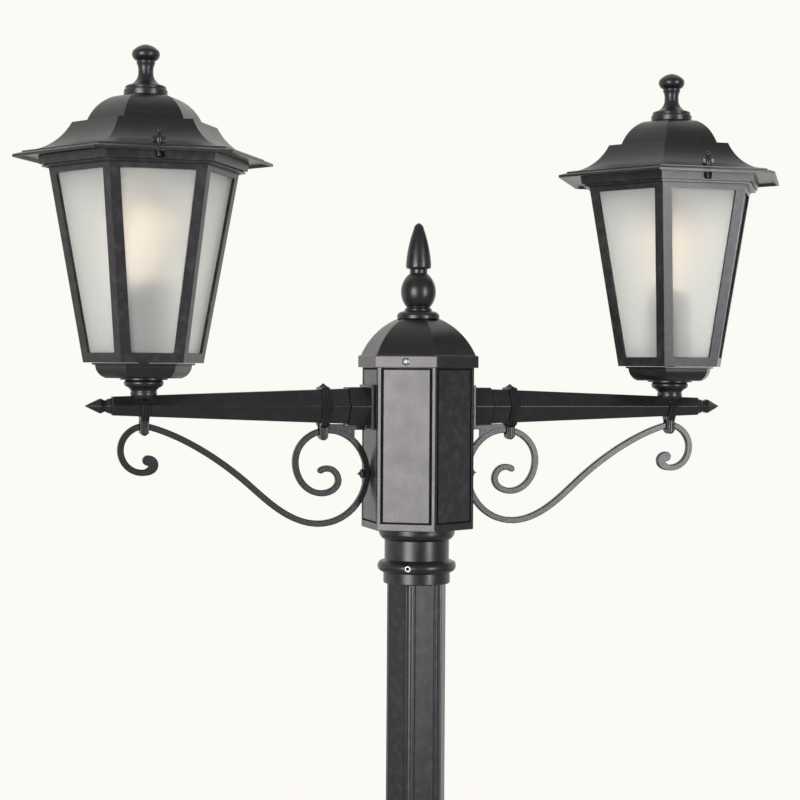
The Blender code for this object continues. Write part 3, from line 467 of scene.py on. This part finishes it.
# ---- head: neck, housing, cap, finial -----------------------------------------------------------
def make_neck():
    """Round casting under the housing, with its hollow-hex set screws."""
    torus = arc((34.4, 1688.2), (34.4, 1676.4), 5.8, 20)
    profile = ([(38.8, 1720.5), (38.8, 1715.4)] + arc((38.4, 1714.6), (34.2, 1709.6), 0.5, 8)
               + [(33.0, 1708.9), (33.0, 1689.4)] + torus
               + [(34.1, 1676.0), (34.1, 1666.0), (33.3, 1665.0), (30.7, 1665.0), (30.7, 1706.5),
                  (20.0, 1706.5), (20.0, 1720.5)])
    neck = turned("neck_collar_fine", in_mm(profile), 128, closed=True)
    for degrees in SET_SCREW_DEGREES:
        hole = turned("hole", in_mm([(0, 10), (3.9, 10), (3.9, -20), (0, -20)]), 40)
        boolean(neck, on_wall(hole, degrees, 40 * MM, SET_SCREW_Z))
    shown(bevelled(neck, 0.45 * MM, 3, 33), "head", COAT, ["neck_collar"])
    for i, degrees in enumerate(SET_SCREW_DEGREES, start=1):
        screw = turned("screw", in_mm([(0, 0.1), (2.9, 0.1), (3.5, -0.6), (3.5, -10.6), (0, -10.6)]), 40)
        boolean(screw, turned("socket", in_mm([(0, 1), (2.0, 1), (2.0, -4.6), (0, -7.0)]), 6))
        screw.name = f"set_screw_{i}_fine"
        shown(on_wall(screw, degrees, 41 * MM, SET_SCREW_Z), "head", STEEL, [f"set_screw_{i}"])


def make_housing():
    """Six-sided box; the floor and walls of the groove round each panel get a dark material with weak
    reflection as painted shade.
    """
    housing = bevelled(cad_copy("housing", "housing_fine"), 0.2 * MM, 2, 40)
    shown(housing, "head", COAT_FLAT, ["housing"])
    housing.data.materials.append(GROOVE_SHADE)
    for face in housing.data.polygons:
        azimuth = math.radians(60 * round(math.degrees(math.atan2(face.center.y, face.center.x)) / 60))
        depth = HEX_FACE - face.center.x * math.cos(azimuth) - face.center.y * math.sin(azimuth)
        inside = HOUSING_LOW + GROOVE_ABOVE_LOW < face.center.z < HOUSING_TOP - GROOVE_BELOW_TOP
        # groove faces get the dark material as painted shade
        if GROOVE_SHALLOW < depth < GROOVE_DEEP and inside:
            face.material_index = 1


def make_cap():
    """Six-sided domed cap, its two cross-slotted screws, and the spear finial."""
    dome = arc((22.9, 1934.3), (60.3, 1897.4), 5.0, 24)
    inner = arc((56.5, 1896.2), (20.5, 1930.8), -4.6, 12)
    rim = [(62.5, 1896.9), (63.3, 1896.1), (63.3, 1884.7), (59.1, 1884.7), (59.1, 1894.6)]
    profile = [(5.2, 1934.3)] + dome + rim + inner + [(5.2, 1930.8)]
    cap = turned("housing_cap_fine", in_mm(profile), 6, closed=True)
    moved(cap, Matrix.Rotation(math.pi / 6, 4, "Z"))
    face = rim[1][0] * MM * COS30
    for degrees in CAP_SCREW_DEGREES.values():
        hole = turned("hole", in_mm([(0, 4), (2.3, 4), (2.3, -14), (0, -14)]), 32)
        boolean(cap, on_wall(hole, degrees, face, CAP_SCREW_Z))
    shown(bevelled(cap, 0.55 * MM, 3, 30), "head", COAT, ["housing_cap"])
    for label, degrees in CAP_SCREW_DEGREES.items():
        head_top = arc((0.0, 2.3), (3.9, 0.9), 0.35, 10)
        screw = turned("screw", in_mm(head_top + [(3.9, 0.3), (2.0, 0.3), (2.0, -10), (0, -10)]), 48)
        for quarter_turn in (20, 110):
            slot = block("slot", (1.1 * MM, 4.6 * MM, 3.0 * MM), (0, 0, 2.3 * MM),
                         Matrix.Rotation(math.radians(quarter_turn), 4, "Z"))
            boolean(screw, slot)
        screw.name = f"cap_screw_{label}_fine"
        shown(on_wall(screw, degrees, face, CAP_SCREW_Z), "head", STEEL, [f"cap_screw_{label}"])
    spear = (arc((0.0, 2032.8), (5.4, 2026.2), 1.3, 8) + arc((5.4, 2026.2), (12.9, 1990.5), 1.25, 18)[1:]
             + [(12.9, 1987.5)])
    ball = arc((8.9, 1981.0), (12.0, 1946.5), 7.4, 28)
    profile = (spear + [(12.3, 1986.2), (9.4, 1985.4), (8.9, 1984.6)] + ball
               + [(12.6, 1945.4), (14.0, 1944.4), (14.0, 1942.8)]
               + arc((17.5, 1941.8), (21.7, 1937.6), 0.9, 8)
               + [(21.7, 1934.6), (4.0, 1934.6), (4.0, 1922.0), (0, 1922.0)])
    finial = turned("spear_finial_fine", in_mm(profile))
    shown(bevelled(finial, 0.35 * MM, 2, 40), "head", COAT, ["spear_finial"])


def make_terminal():
    """Terminal block with brass screws."""
    block_copy = cad_copy("terminal_block", "terminal_block_fine")
    shown(bevelled(block_copy, 0.5 * MM, 2), "head", TERMINAL, ["terminal_block"])
    low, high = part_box("terminal_block")
    for i in range(4):
        x = (i - 1.5) * 10.5 * MM
        spot = Matrix.Translation((x, (low.y + high.y) / 2 + 3 * MM, high.z - 0.6 * MM))
        screw = rod("screw", 2.6 * MM, 1.6 * MM, spot, 32)
        slot_spot = spot.translation + Vector((0, 0, 0.8 * MM))
        boolean(screw, block("slot", (5.6 * MM, 0.7 * MM, 1.2 * MM), slot_spot))
        screw.name = f"terminal_screw_{i + 1}"
        shown(screw, "head", BRASS)


# ---- arms ---------------------------------------------------------------------------------------
def arm_half(x):
    """Half height of the tapered arm at a distance from the pole axis."""
    share = (x - ARM_START_X) / (ARM_END_X - ARM_START_X)
    return ARM_HALF_START + share * (ARM_HALF_END - ARM_HALF_START)


def arm_envelope(side, room):
    """Cutter in the arm's outer shape, grown by room."""
    start, end = ARM_START_X - 10 * MM, ARM_END_X + 10 * MM
    profile = [(0, end), ((arm_half(end) + room) / COS30, end), ((arm_half(start) + room) / COS30, start),
               (0, start)]
    return along_x(turned("envelope", profile, 6), side)


def make_arm(label):
    """Arm, socket and spear tip: cast six-sided pieces with softly rounded ridges."""
    for node, width in (("arm", 0.8), ("arm_socket", 0.8), ("arm_tip", 0.3)):
        piece = cad_copy(f"{label}_{node}", f"{label}_{node}_fine")
        shown(bevelled(piece, width * MM, 3, 24), "head", COAT, [f"{label}_{node}"])


ROUND_PULL = 0.5523                     # Bezier handle of a quarter turn, as a share of its radius


def bezier(start, leave, arrive, end, count):
    """Points after the start of a cubic Bezier curve."""
    points = []
    for i in range(1, count + 1):
        t = i / count
        u = 1 - t
        points.append(u ** 3 * start + 3 * u * u * t * leave + 3 * u * t * t * arrive + t ** 3 * end)
    return points


def quarter(start, end, leave_flat):
    """A quarter of a turn from start to end; it leaves level if leave_flat, else upright."""
    start, end = Vector(start), Vector(end)
    corner = Vector((end.x, start.y)) if leave_flat else Vector((start.x, end.y))
    return bezier(start, start.lerp(corner, ROUND_PULL), end.lerp(corner, ROUND_PULL), end, 14)


def scroll_route():
    """Centre line of the scroll in millimetres: inner curl, housing side, S to the outer curl."""
    turns = [((95.5, 1782.3), (83.8, 1770.0), True), ((83.8, 1770.0), (101.0, 1757.4), False),
             ((101.0, 1757.4), (128.5, 1789.5), True), ((128.5, 1789.5), (94.5, 1820.8), False),
             ((94.5, 1820.8), (54.0, 1776.8), True), ((54.0, 1776.8), (103.5, 1726.8), False)]
    outer_turns = [((279.5, 1825.6), (304.1, 1802.0), True), ((304.1, 1802.0), (282.6, 1779.8), False),
                   ((282.6, 1779.8), (271.8, 1786.8), True), ((271.8, 1786.8), (277.4, 1791.8), False)]
    hook = [Vector(spot) for spot in ((102.2, 1780.4), (100.6, 1781.7), (98.2, 1782.3), (95.5, 1782.3))]
    rise = [Vector(spot) for spot in ((103.5, 1726.8), (131.5, 1726.8), (154.0, 1747.5), (174.0, 1765.2))]
    sweep = [Vector(spot) for spot in ((174.0, 1765.2), (206.0, 1793.5), (245.5, 1817.4), (279.5, 1825.6))]
    points = [hook[0]] + bezier(*hook, 8)
    for start, end, leave_flat in turns:
        points += quarter(start, end, leave_flat)
    points += bezier(*rise, 22) + bezier(*sweep, 28)
    for start, end, leave_flat in outer_turns:
        points += quarter(start, end, leave_flat)
    return points


def scroll_stations():
    """Centre, direction and half width along the bar, with round ends and a swollen outer end."""
    route = scroll_route()
    count, leaf = len(route), 26
    stations = []
    for i, spot in enumerate(route):
        along = (route[min(i + 1, count - 1)] - route[max(i - 1, 0)]).normalized()
        from_end = (count - 1 - i) / leaf
        swell = 2.2 * math.sin(math.pi * (0.35 + 0.65 * from_end)) if from_end < 1 else 0.0
        stations.append((spot, along, BAR_WIDTH / 2 / MM + swell))
    first, last = stations[0], stations[-1]
    for angle in range(12, 85, 12):
        c, s = math.cos(math.radians(angle)), math.sin(math.radians(angle))
        stations.insert(0, (first[0] - first[1] * first[2] * s, first[1], first[2] * c))
        stations.append((last[0] + last[1] * last[2] * s, last[1], last[2] * c))
    return stations


def make_scroll(label, side):
    """Flat scroll bar with chamfered edges, its support bar and gusset, and the pointed bolt."""
    rings = []
    for spot, along, half in scroll_stations():
        normal = Vector((-along.y, along.x))
        half_width, half_depth = half * MM, BAR_DEPTH / 2
        cut = min(BAR_CHAMFER, 0.7 * half_width)
        section = [(half_width, half_depth - cut), (half_width - cut, half_depth)]
        section += [(-u, v) for u, v in section[::-1]]
        section += [(u, -v) for u, v in section[::-1]]
        rings.append([(side * (spot.x * MM + normal.x * u), v, spot.y * MM + normal.y * u)
                      for u, v in section])
    bar = loft(f"{label}_scroll_fine", rings)
    support = [(56.4, 1825.7), (56.4, 1821.2), (67.4, 1821.2), (67.4, 1809.5), (73.5, 1814.0), (80.0, 1818.0),
               (95.3, 1819.6), (95.3, 1827.2), (77.0, 1827.0), (77.0, 1825.7)]
    plate = loft("support", [in_mm([(side * u, y, v) for u, v in support]) for y in (-2.7, 2.7)])
    boolean(bar, plate, "UNION")
    shown(bevelled(bar, 0.3 * MM, 2, 32), "head", COAT, [f"{label}_scroll"])
    point = arc((0, 64.5), (3.4, 60.4), -0.5, 6)
    shank = [(4.3, 60.2), (4.6, 59.8), (4.6, 57.8), (2.0, 57.8), (2.0, 44.0), (0, 44.0)]
    bolt = turned(f"{label}_scroll_bolt_fine", in_mm(point + shank), 40)
    shown(along_x(bolt, side, z=SCROLL_BOLT_Z), "head", COAT, [f"{label}_scroll_bolt"])


def inset(outline, distance):
    """Move every side of a closed outline inwards by a distance."""
    count = len(outline)
    moved_points = []
    for i in range(count):
        here = Vector(outline[i])
        before = (here - Vector(outline[i - 1])).normalized()
        after = (Vector(outline[(i + 1) % count]) - here).normalized()
        first, second = Vector((-before.y, before.x)), Vector((-after.y, after.x))
        across = (first + second).normalized()
        moved_points.append(here + across * distance / max(across.dot(first), 0.35))
    return moved_points


CLIP_STEPS = [(-4.3, 1.3), (-3.9, 1.0), (-3.0, 0.9), (-2.6, 0.35), (-1.9, 0.3), (-1.6, 0.85), (-1.3, 0.85),
              (-0.9, 0.1), (-0.6, 0.0)]


def make_clip(label, end, side, x, foot_z, slot, closed):
    """Band of three ribs around the arm; its two cheeks hold the scroll and end in a point."""
    half = arm_half(x) + 3.1 * MM
    corner, cheek, foot = half / COS30, 6.6 * MM, foot_z - ARM_Z
    right = [(corner, 0.0), (corner / 2, -half), (cheek, -half - 2 * MM), (cheek, foot + 1.5 * MM),
             (cheek - 0.6 * MM, foot)]
    top = []
    if closed:
        top = [(-corner / 2, half), (corner / 2, half)]
    else:
        right = [(corner - 0.9 * MM, 1.8 * MM)] + right
    outline = right + [(-y, z) for y, z in reversed(right)] + top
    steps = CLIP_STEPS + [(-position, depth) for position, depth in reversed(CLIP_STEPS)]
    rings = []
    for position, depth in steps:
        ring = inset(outline, -depth * MM)
        rings.append([(side * x + position * MM, y, ARM_Z + z) for y, z in ring])
    clip = loft(f"{label}_{end}_clip_fine", rings)
    if closed:
        crest = [(3.9, 2.3, -1.0), (3.6, 2.2, 0.4), (1.5, 1.4, 1.6), (0.9, 1.0, 2.8)]
        rings = [[(side * x + u * wide * MM, v * deep * MM, ARM_Z + half + rise * MM)
                  for u, v in ((-1, -1), (1, -1), (1, 1), (-1, 1))] for wide, deep, rise in crest]
        boolean(clip, loft("crest", rings), "UNION")
    boolean(clip, arm_envelope(side, 0.3 * MM))
    slot_low, slot_high = slot
    boolean(clip, block("slot", (14 * MM, BAR_DEPTH + 0.6 * MM, slot_high - slot_low),
                        (side * x, 0, (slot_high + slot_low) / 2)))
    for way in (-1, 1):
        wedge = block("wedge", (12 * MM, 20 * MM, 8 * MM), (0, 0, -4 * MM))
        moved(wedge, Matrix.Translation((side * x + way * 5.0 * MM, 0, foot_z + 3.6 * MM))
              @ Matrix.Rotation(-way * math.radians(42), 4, "Y"))
        boolean(clip, wedge)
    shown(bevelled(clip, 0.2 * MM, 2, 32), "head", COAT, [f"{label}_{end}_clip"])


# ---- lanterns -----------------------------------------------------------------------------------
def make_stem(label, side):
    """Turned stem between arm and lantern."""
    profile = ([(5.0, 1898.5), (5.0, 1872.3), (23.4, 1872.3), (23.4, 1871.0), (17.5, 1870.7)]
               + arc((18.4, 1870.3), (18.6, 1865.5), 0.9, 8) + arc((17.8, 1864.6), (13.4, 1861.5), -0.3, 6)
               + [(12.7, 1860.4)] + arc((12.7, 1859.6), (9.8, 1851.0), 1.5, 12)
               + [(5.8, 1848.0), (3.4, 1848.0), (3.4, 1898.5)])
    stem = at_lantern(turned(f"{label}_stem_fine", in_mm(profile), closed=True), side)
    boolean(stem, arm_envelope(side, 0.3 * MM))
    shown(bevelled(stem, 0.3 * MM, 2, 40), "head", COAT, [f"{label}_stem"])


def make_cup(label, side):
    """Six-sided stepped cup under the cage."""
    outer = [(51.0, 1887.3), (51.0, 1885.7), (48.0, 1885.2)] + arc((47.8, 1884.8), (38.5, 1873.0), 2.2, 14)
    inner = [(38.5, 1872.6), (7.0, 1872.6), (7.0, 1875.4), (35.8, 1875.4), (44.2, 1885.4), (44.2, 1887.3)]
    cup = at_lantern(turned(f"{label}_lantern_cup_fine", in_mm(outer + inner), 6, closed=True), side)
    shown(bevelled(cup, 0.4 * MM, 3, 30), "head", COAT, [f"{label}_lantern_cup"])


def frame_radius(z):
    """Corner radius of the tapered cage at a height."""
    share = (z - FRAME_LOW_Z) / (FRAME_TOP_Z - FRAME_LOW_Z)
    return FRAME_LOW_R + share * (FRAME_TOP_R - FRAME_LOW_R)


def window_cutter(side, face, corner=1.6 * MM, depth=20 * MM):
    """Tapered cutter for one window, with rounded corners."""
    widths = [frame_radius(z) / 2 - STILE for z in (WINDOW_LOW, WINDOW_HIGH)]
    tall = (WINDOW_HIGH - WINDOW_LOW) / math.cos(FRAME_TILT) / 2
    corners = [(-widths[0], -tall), (widths[0], -tall), (widths[1], tall), (-widths[1], tall)]
    outline = []
    for i, here in enumerate(corners):
        here = Vector(here)
        before = (Vector(corners[i - 1]) - here).normalized()
        after = (Vector(corners[(i + 1) % 4]) - here).normalized()
        for step in range(5):
            t = step / 4
            outline.append(here + before * corner * (1 - t) ** 2 + after * corner * t ** 2)
    rings = [[(u, y, v) for u, v in outline] for y in (-depth / 2, depth / 2)]
    middle = (WINDOW_LOW + WINDOW_HIGH) / 2
    out = Matrix.Translation((0, -frame_radius(middle) * COS30, middle))
    turn = Matrix.Rotation(math.radians(60 * face), 4, "Z")
    axis = Matrix.Translation((side * LANTERN_X, 0, 0))
    return moved(loft("window", rings), axis @ turn @ out @ Matrix.Rotation(FRAME_TILT, 4, "X"))


def make_cage(label, side):
    """Tapered cage with rounded stiles, a shadow strip under the band, and the hinge knuckle."""
    wall = FRAME_WALL / MM / COS30 / math.cos(FRAME_TILT)
    top_r, floor = FRAME_TOP_R / MM, FRAME_LOW_Z / MM + 3.2
    profile = [(104.0, 2087.0), (102.4, 2078.6), (98.6, 2078.6), (98.6, 2077.5), (100.4, 2077.4),
               (100.4, 2076.2), (95.4, 2076.1), (95.4, 2075.2), (top_r, 2075.2),
               (FRAME_LOW_R / MM, FRAME_LOW_Z / MM), (7.0, FRAME_LOW_Z / MM), (7.0, floor),
               (frame_radius(floor * MM) / MM - wall, floor), (top_r - wall, 2075.2), (95.5, 2079.6),
               (99.0, 2081.0), (99.0, 2087.0)]
    cage = at_lantern(turned(f"{label}_lantern_frame_fine", in_mm(profile), 6, closed=True), side)
    for face in range(6):
        boolean(cage, window_cutter(side, face))
    x = side * LANTERN_X
    lie = Matrix.Translation((x, HINGE_Y, HINGE_Z)) @ Matrix.Rotation(math.pi / 2, 4, "Y")
    boolean(cage, block("notch", (7.8 * MM, 12 * MM, 10 * MM), (x, -88 * MM, 2084.6 * MM)))
    root = block("root", (20 * MM, 8 * MM, 6.4 * MM), (x, HINGE_Y - 5 * MM, HINGE_Z - 0.6 * MM))
    boolean(cage, root, "UNION")
    boolean(cage, rod("knuckle", KNUCKLE_R, 20 * MM, lie), "UNION")
    boolean(cage, rod("pin_hole", PIN_HOLE_R, 24 * MM, lie))
    shown(bevelled(cage, 0.5 * MM, 2, 30), "head", COAT, [f"{label}_lantern_frame"])


def make_lamp(label, side):
    """Ribbed lamp holder, and the opal lamp with its screw base."""
    ribs = []
    for i in range(12):
        z = 1960.0 - 5.0 * i
        ribs += [(20.0, z), (20.0, z - 3.0), (19.4, z - 3.4), (19.4, z - 4.6)]
    bore = [(20.0, 1899.0), (17.0, 1891.1), (5.6, 1891.1), (5.6, 1900.0), (3.4, 1900.0), (3.4, 1930.0),
            (14.0, 1932.0), (14.0, 1966.0)]
    outline = in_mm([(18.5, 1966.0), (20.0, 1964.5)] + ribs + bore)
    holder = at_lantern(turned(f"{label}_lamp_holder_fine", outline, 64, closed=True), side)
    shown(holder, "head", HOLDER, [f"{label}_lamp_holder"])
    glass = arc((0.0, 2056.0), (26.5, 2011.5), 13.0, 28) + arc((26.5, 2011.5), (13.4, 1970.0), -1.6, 14)[1:]
    envelope = turned(f"{label}_bulb_fine", in_mm(glass + [(13.0, 1967.0), (0.0, 1967.0)]))
    shown(at_lantern(envelope, side), f"{label}_lamp", OPAL, [f"{label}_bulb"])
    thread = []
    for i in range(7):
        z = 1964.5 - 3.2 * i
        thread += arc((12.3, z), (12.3, z - 3.2), 0.8, 6)[:-1]
    outline = ([(0.0, 1966.9), (13.2, 1966.9), (13.2, 1965.0)] + thread
               + [(12.3, 1942.0), (8.5, 1936.5), (0, 1935.5)])
    base = at_lantern(turned(f"{label}_bulb_base", in_mm(outline), 64), side)
    shown(base, f"{label}_lamp", BRASS)


def make_roof(label, side):
    """Hinged six-sided roof with its knob, hinge pin and wing screw."""
    x, body = side * LANTERN_X, f"{label}_roof"
    across = Matrix.Rotation(math.pi / 2, 4, "Y")
    dome = arc((31.5, 2147.5), (57.4, 2122.2), 4.0, 20)
    flare = arc((71.6, 2120.8), (106.5, 2092.9), -4.6, 24)
    brim = [(119.2, 2091.0), (119.2, 2089.9), (127.6, 2087.6), (128.4, 2087.1), (128.4, 2084.7)]
    inner = ([(126.2, 2084.7), (122.0, 2087.3), (92.0, 2087.3), (72.0, 2112.0), (68.0, 2117.6),
              (54.0, 2118.4)] + arc((54.0, 2119.5), (29.8, 2144.3), -3.6, 10))
    profile = [(5.2, 2147.5)] + dome + [(57.8, 2121.6)] + flare + brim + inner + [(5.2, 2144.3)]
    roof = at_lantern(turned(f"{label}_roof_fine", in_mm(profile), 6, closed=True), side)
    for offset in (-ROOF_KNUCKLE_X, ROOF_KNUCKLE_X):
        spot = Vector((x + offset, HINGE_Y, HINGE_Z))
        root = block("root", (ROOF_KNUCKLE_WIDE, 7.6 * MM, 7 * MM), spot + Vector((0, 0, 3.5 * MM)))
        boolean(roof, root, "UNION")
        knuckle = rod("knuckle", KNUCKLE_R, ROOF_KNUCKLE_WIDE, Matrix.Translation(spot) @ across)
        boolean(roof, knuckle, "UNION")
    lie = Matrix.Translation((x, HINGE_Y, HINGE_Z)) @ across
    boolean(roof, rod("pin_hole", PIN_HOLE_R, 50 * MM, lie))
    wing_spot = Vector((x + WING_OFFSET, WING_Y, WING_SEAT))
    boolean(roof, rod("wing_hole", 2.4 * MM, 30 * MM, Matrix.Translation(wing_spot), 32))
    boolean(roof, rod("wing_seat", 7.4 * MM, 10 * MM, Matrix.Translation(wing_spot + Vector((0, 0, 5 * MM)))))
    shown(bevelled(roof, 0.5 * MM, 2, 30), body, COAT, [f"{label}_roof"])

    knob = (arc((0.0, 2199.8), (12.9, 2193.2), 1.4, 12) + arc((12.9, 2193.2), (10.2, 2184.2), 1.9, 12)[1:]
            + [(8.9, 2183.4), (9.1, 2181.4)] + arc((9.0, 2181.0), (7.4, 2173.0), -0.6, 8)
            + arc((7.4, 2171.6), (18.3, 2159.1), -3.0, 14)
            + [(20.0, 2158.0), (20.0, 2155.4), (21.4, 2154.6), (21.4, 2149.6), (20.4, 2147.8), (4.0, 2147.8),
               (4.0, 2137.0), (0.0, 2137.0)])
    top = at_lantern(turned(f"{label}_roof_knob_fine", in_mm(knob)), side)
    shown(bevelled(top, 0.35 * MM, 2, 40), body, COAT, [f"{label}_roof_knob"])

    pin = turned(f"{label}_hinge_pin_fine", in_mm(
        arc((0, 19.6), (3.2, 18.8), 0.3, 5) + [(3.2, 17.5), (2.0, 17.5), (2.0, -17.5), (3.2, -17.5)]
        + arc((3.2, -18.8), (0, -19.6), 0.3, 5)), 40)
    shown(moved(pin, lie), "head", STEEL, [f"{label}_hinge_pin"])
    make_wing_screw(label, wing_spot)


def make_wing_screw(label, spot):
    """Acorn-headed screw with two small wings."""
    shank = (arc((0, 14.2), (2.6, 11.2), 0.8, 10) + [(2.6, 10.2), (2.0, 9.7), (1.9, 9.4)]
             + arc((2.2, 8.9), (3.5, 1.6), 0.5, 8)
             + [(3.6, 0.3), (2.0, 0.3), (2.0, -12.2), (1.6, -12.6), (0, -12.6)])
    screw = turned("screw", in_mm(shank), 48)
    wing = [(1.0, 0.9), (4.6, 2.2), (6.4, 4.6), (6.2, 6.6), (4.6, 6.8), (1.0, 4.6)]
    outline = wing + [(-u, v) for u, v in reversed(wing)]
    blades = loft("blades", [in_mm([(u, y, v) for u, v in outline]) for y in (-0.9, 0.9)])
    boolean(screw, blades, "UNION")
    screw.name = f"{label}_wing_screw_fine"
    moved(screw, Matrix.Translation(spot))
    shown(bevelled(screw, 0.2 * MM, 2, 40), f"{label}_wing_screw", COAT, [f"{label}_wing_screw"])


def dress(node, material):
    """Give a CAD node that stays its material."""
    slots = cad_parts[node].data.materials
    slots.clear()
    slots.append(material)


# ---- stage, light, camera -----------------------------------------------------------------------
FLOOR_RADIUS = 5.5
FRONT_GREY = 0.42                       # strength of the surroundings behind the camera
BACKDROP_EDGE = 0.35                    # how far to each side of the middle they fall off
BACKDROP_COLOUR = (0.965, 0.955, 0.915, 1.0)
KEY_SPREAD = math.radians(80)           # opening angle of the two soft lights
CAMERA_TURN, CAMERA_ROLL = math.radians(16.804), math.radians(0.375)
CAMERA_DISTANCE, CAMERA_HEIGHT, CAMERA_OFFSET = 1.92688, 1.885, 0.01836
CAMERA_LENS, CAMERA_SENSOR, CAMERA_SHIFT_Y = 84.69, 36.0, -0.041


def make_stage():
    """Plain pale floor."""
    floor = turned("floor", [(FLOOR_RADIUS, 0.0), (0.0, 0.0)], 128)
    m = Nodes("floor_paint")
    m.to("Base Color", m.mix(m.span(m.noise(3.0, 4.0), 0.0, 1.0), (0.54, 0.54, 0.53), (0.58, 0.58, 0.57)))
    m.to("Roughness", m.span(m.noise(9.0, 3.0), 0.55, 0.70))
    m.to("Normal", m.bump(m.noise(260.0, 3.0), 0.0004, 0.3))
    floor.data.materials.append(m.material)


def softbox(name, degrees, distance, height, size, power, aim_z=1.85):
    """Rectangular area light that stands round the post and looks at its axis."""
    light = bpy.data.lights.new(name, "AREA")
    light.shape = "RECTANGLE"
    light.size, light.size_y = size
    light.energy = power
    light.spread = KEY_SPREAD
    obj = bpy.data.objects.new(name, light)
    azimuth = math.radians(degrees)
    obj.location = (distance * math.cos(azimuth), distance * math.sin(azimuth), height)
    aim = Vector((0.0, 0.0, aim_z)) - obj.location
    obj.rotation_euler = aim.to_track_quat("-Z", "Y").to_euler()
    bpy.context.scene.collection.objects.link(obj)


def make_light():
    """White backdrop that falls off towards the front, a large soft light at the front left and a
    narrow one at the front right."""
    world = bpy.data.worlds.new("white_studio")
    world.use_nodes = True
    tree = world.node_tree
    direction = tree.nodes.new("ShaderNodeTexCoord").outputs["Generated"]
    axes = tree.nodes.new("ShaderNodeSeparateXYZ")
    tree.links.new(direction, axes.inputs["Vector"])
    fall = tree.nodes.new("ShaderNodeMapRange")
    fall.interpolation_type = "SMOOTHSTEP"
    for label, value in (("From Min", -BACKDROP_EDGE), ("From Max", BACKDROP_EDGE), ("To Min", FRONT_GREY),
                         ("To Max", 1.0)):
        fall.inputs[label].default_value = value
    tree.links.new(axes.outputs["Y"], fall.inputs["Value"])
    background = tree.nodes["Background"]
    background.inputs["Color"].default_value = BACKDROP_COLOUR
    tree.links.new(fall.outputs["Result"], background.inputs["Strength"])
    bpy.context.scene.world = world
    softbox("key_left", -137, 3.0, 1.9, (1.4, 1.6), 20.0)
    softbox("key_right", -62, 3.0, 1.95, (0.6, 1.7), 11.0)


def make_camera():
    """The camera stands level, a little above the arms, and looks 16.8 degrees right of +Y."""
    ahead = Vector((math.sin(CAMERA_TURN), math.cos(CAMERA_TURN), 0.0))
    right = Vector((math.cos(CAMERA_TURN), -math.sin(CAMERA_TURN), 0.0))
    spot = -CAMERA_DISTANCE * ahead - CAMERA_OFFSET * right + Vector((0.0, 0.0, CAMERA_HEIGHT))
    data = bpy.data.cameras.new("camera")
    data.sensor_width = CAMERA_SENSOR
    data.lens = CAMERA_LENS
    data.shift_y = CAMERA_SHIFT_Y
    camera = bpy.data.objects.new("camera", data)
    axes = Matrix((right, Vector((0, 0, 1)), -ahead)).transposed().to_4x4()
    camera.matrix_world = Matrix.Translation(spot) @ axes @ Matrix.Rotation(CAMERA_ROLL, 4, "Z")
    bpy.context.scene.collection.objects.link(camera)
    bpy.context.scene.camera = camera


# ---- assembly -----------------------------------------------------------------------------------
make_camera()
make_light()
make_stage()
make_pole()
make_base()
make_neck()
make_housing()
make_cap()
make_terminal()
CLIPS = {                               # distance out, foot height, slot for the scroll bar, closed on top
    "inner": (100.0 * MM, 1810.8 * MM, (1815.8 * MM, 1828.6 * MM), True),
    "outer": (281.0 * MM, 1816.0 * MM, (1820.8 * MM, 1831.0 * MM), False),
}
for label, side in SIDES.items():
    make_arm(label)
    make_scroll(label, side)
    for end, measures in CLIPS.items():
        make_clip(label, end, side, *measures)
    make_stem(label, side)
    make_cup(label, side)
    make_cage(label, side)
    for pane in range(1, 7):
        dress(f"{label}_pane_{pane}", GLASS)
    make_lamp(label, side)
    make_roof(label, side)
    dress(f"{label}_lead", SHEATH)

bpy.context.scene.view_settings.view_transform = "Standard"
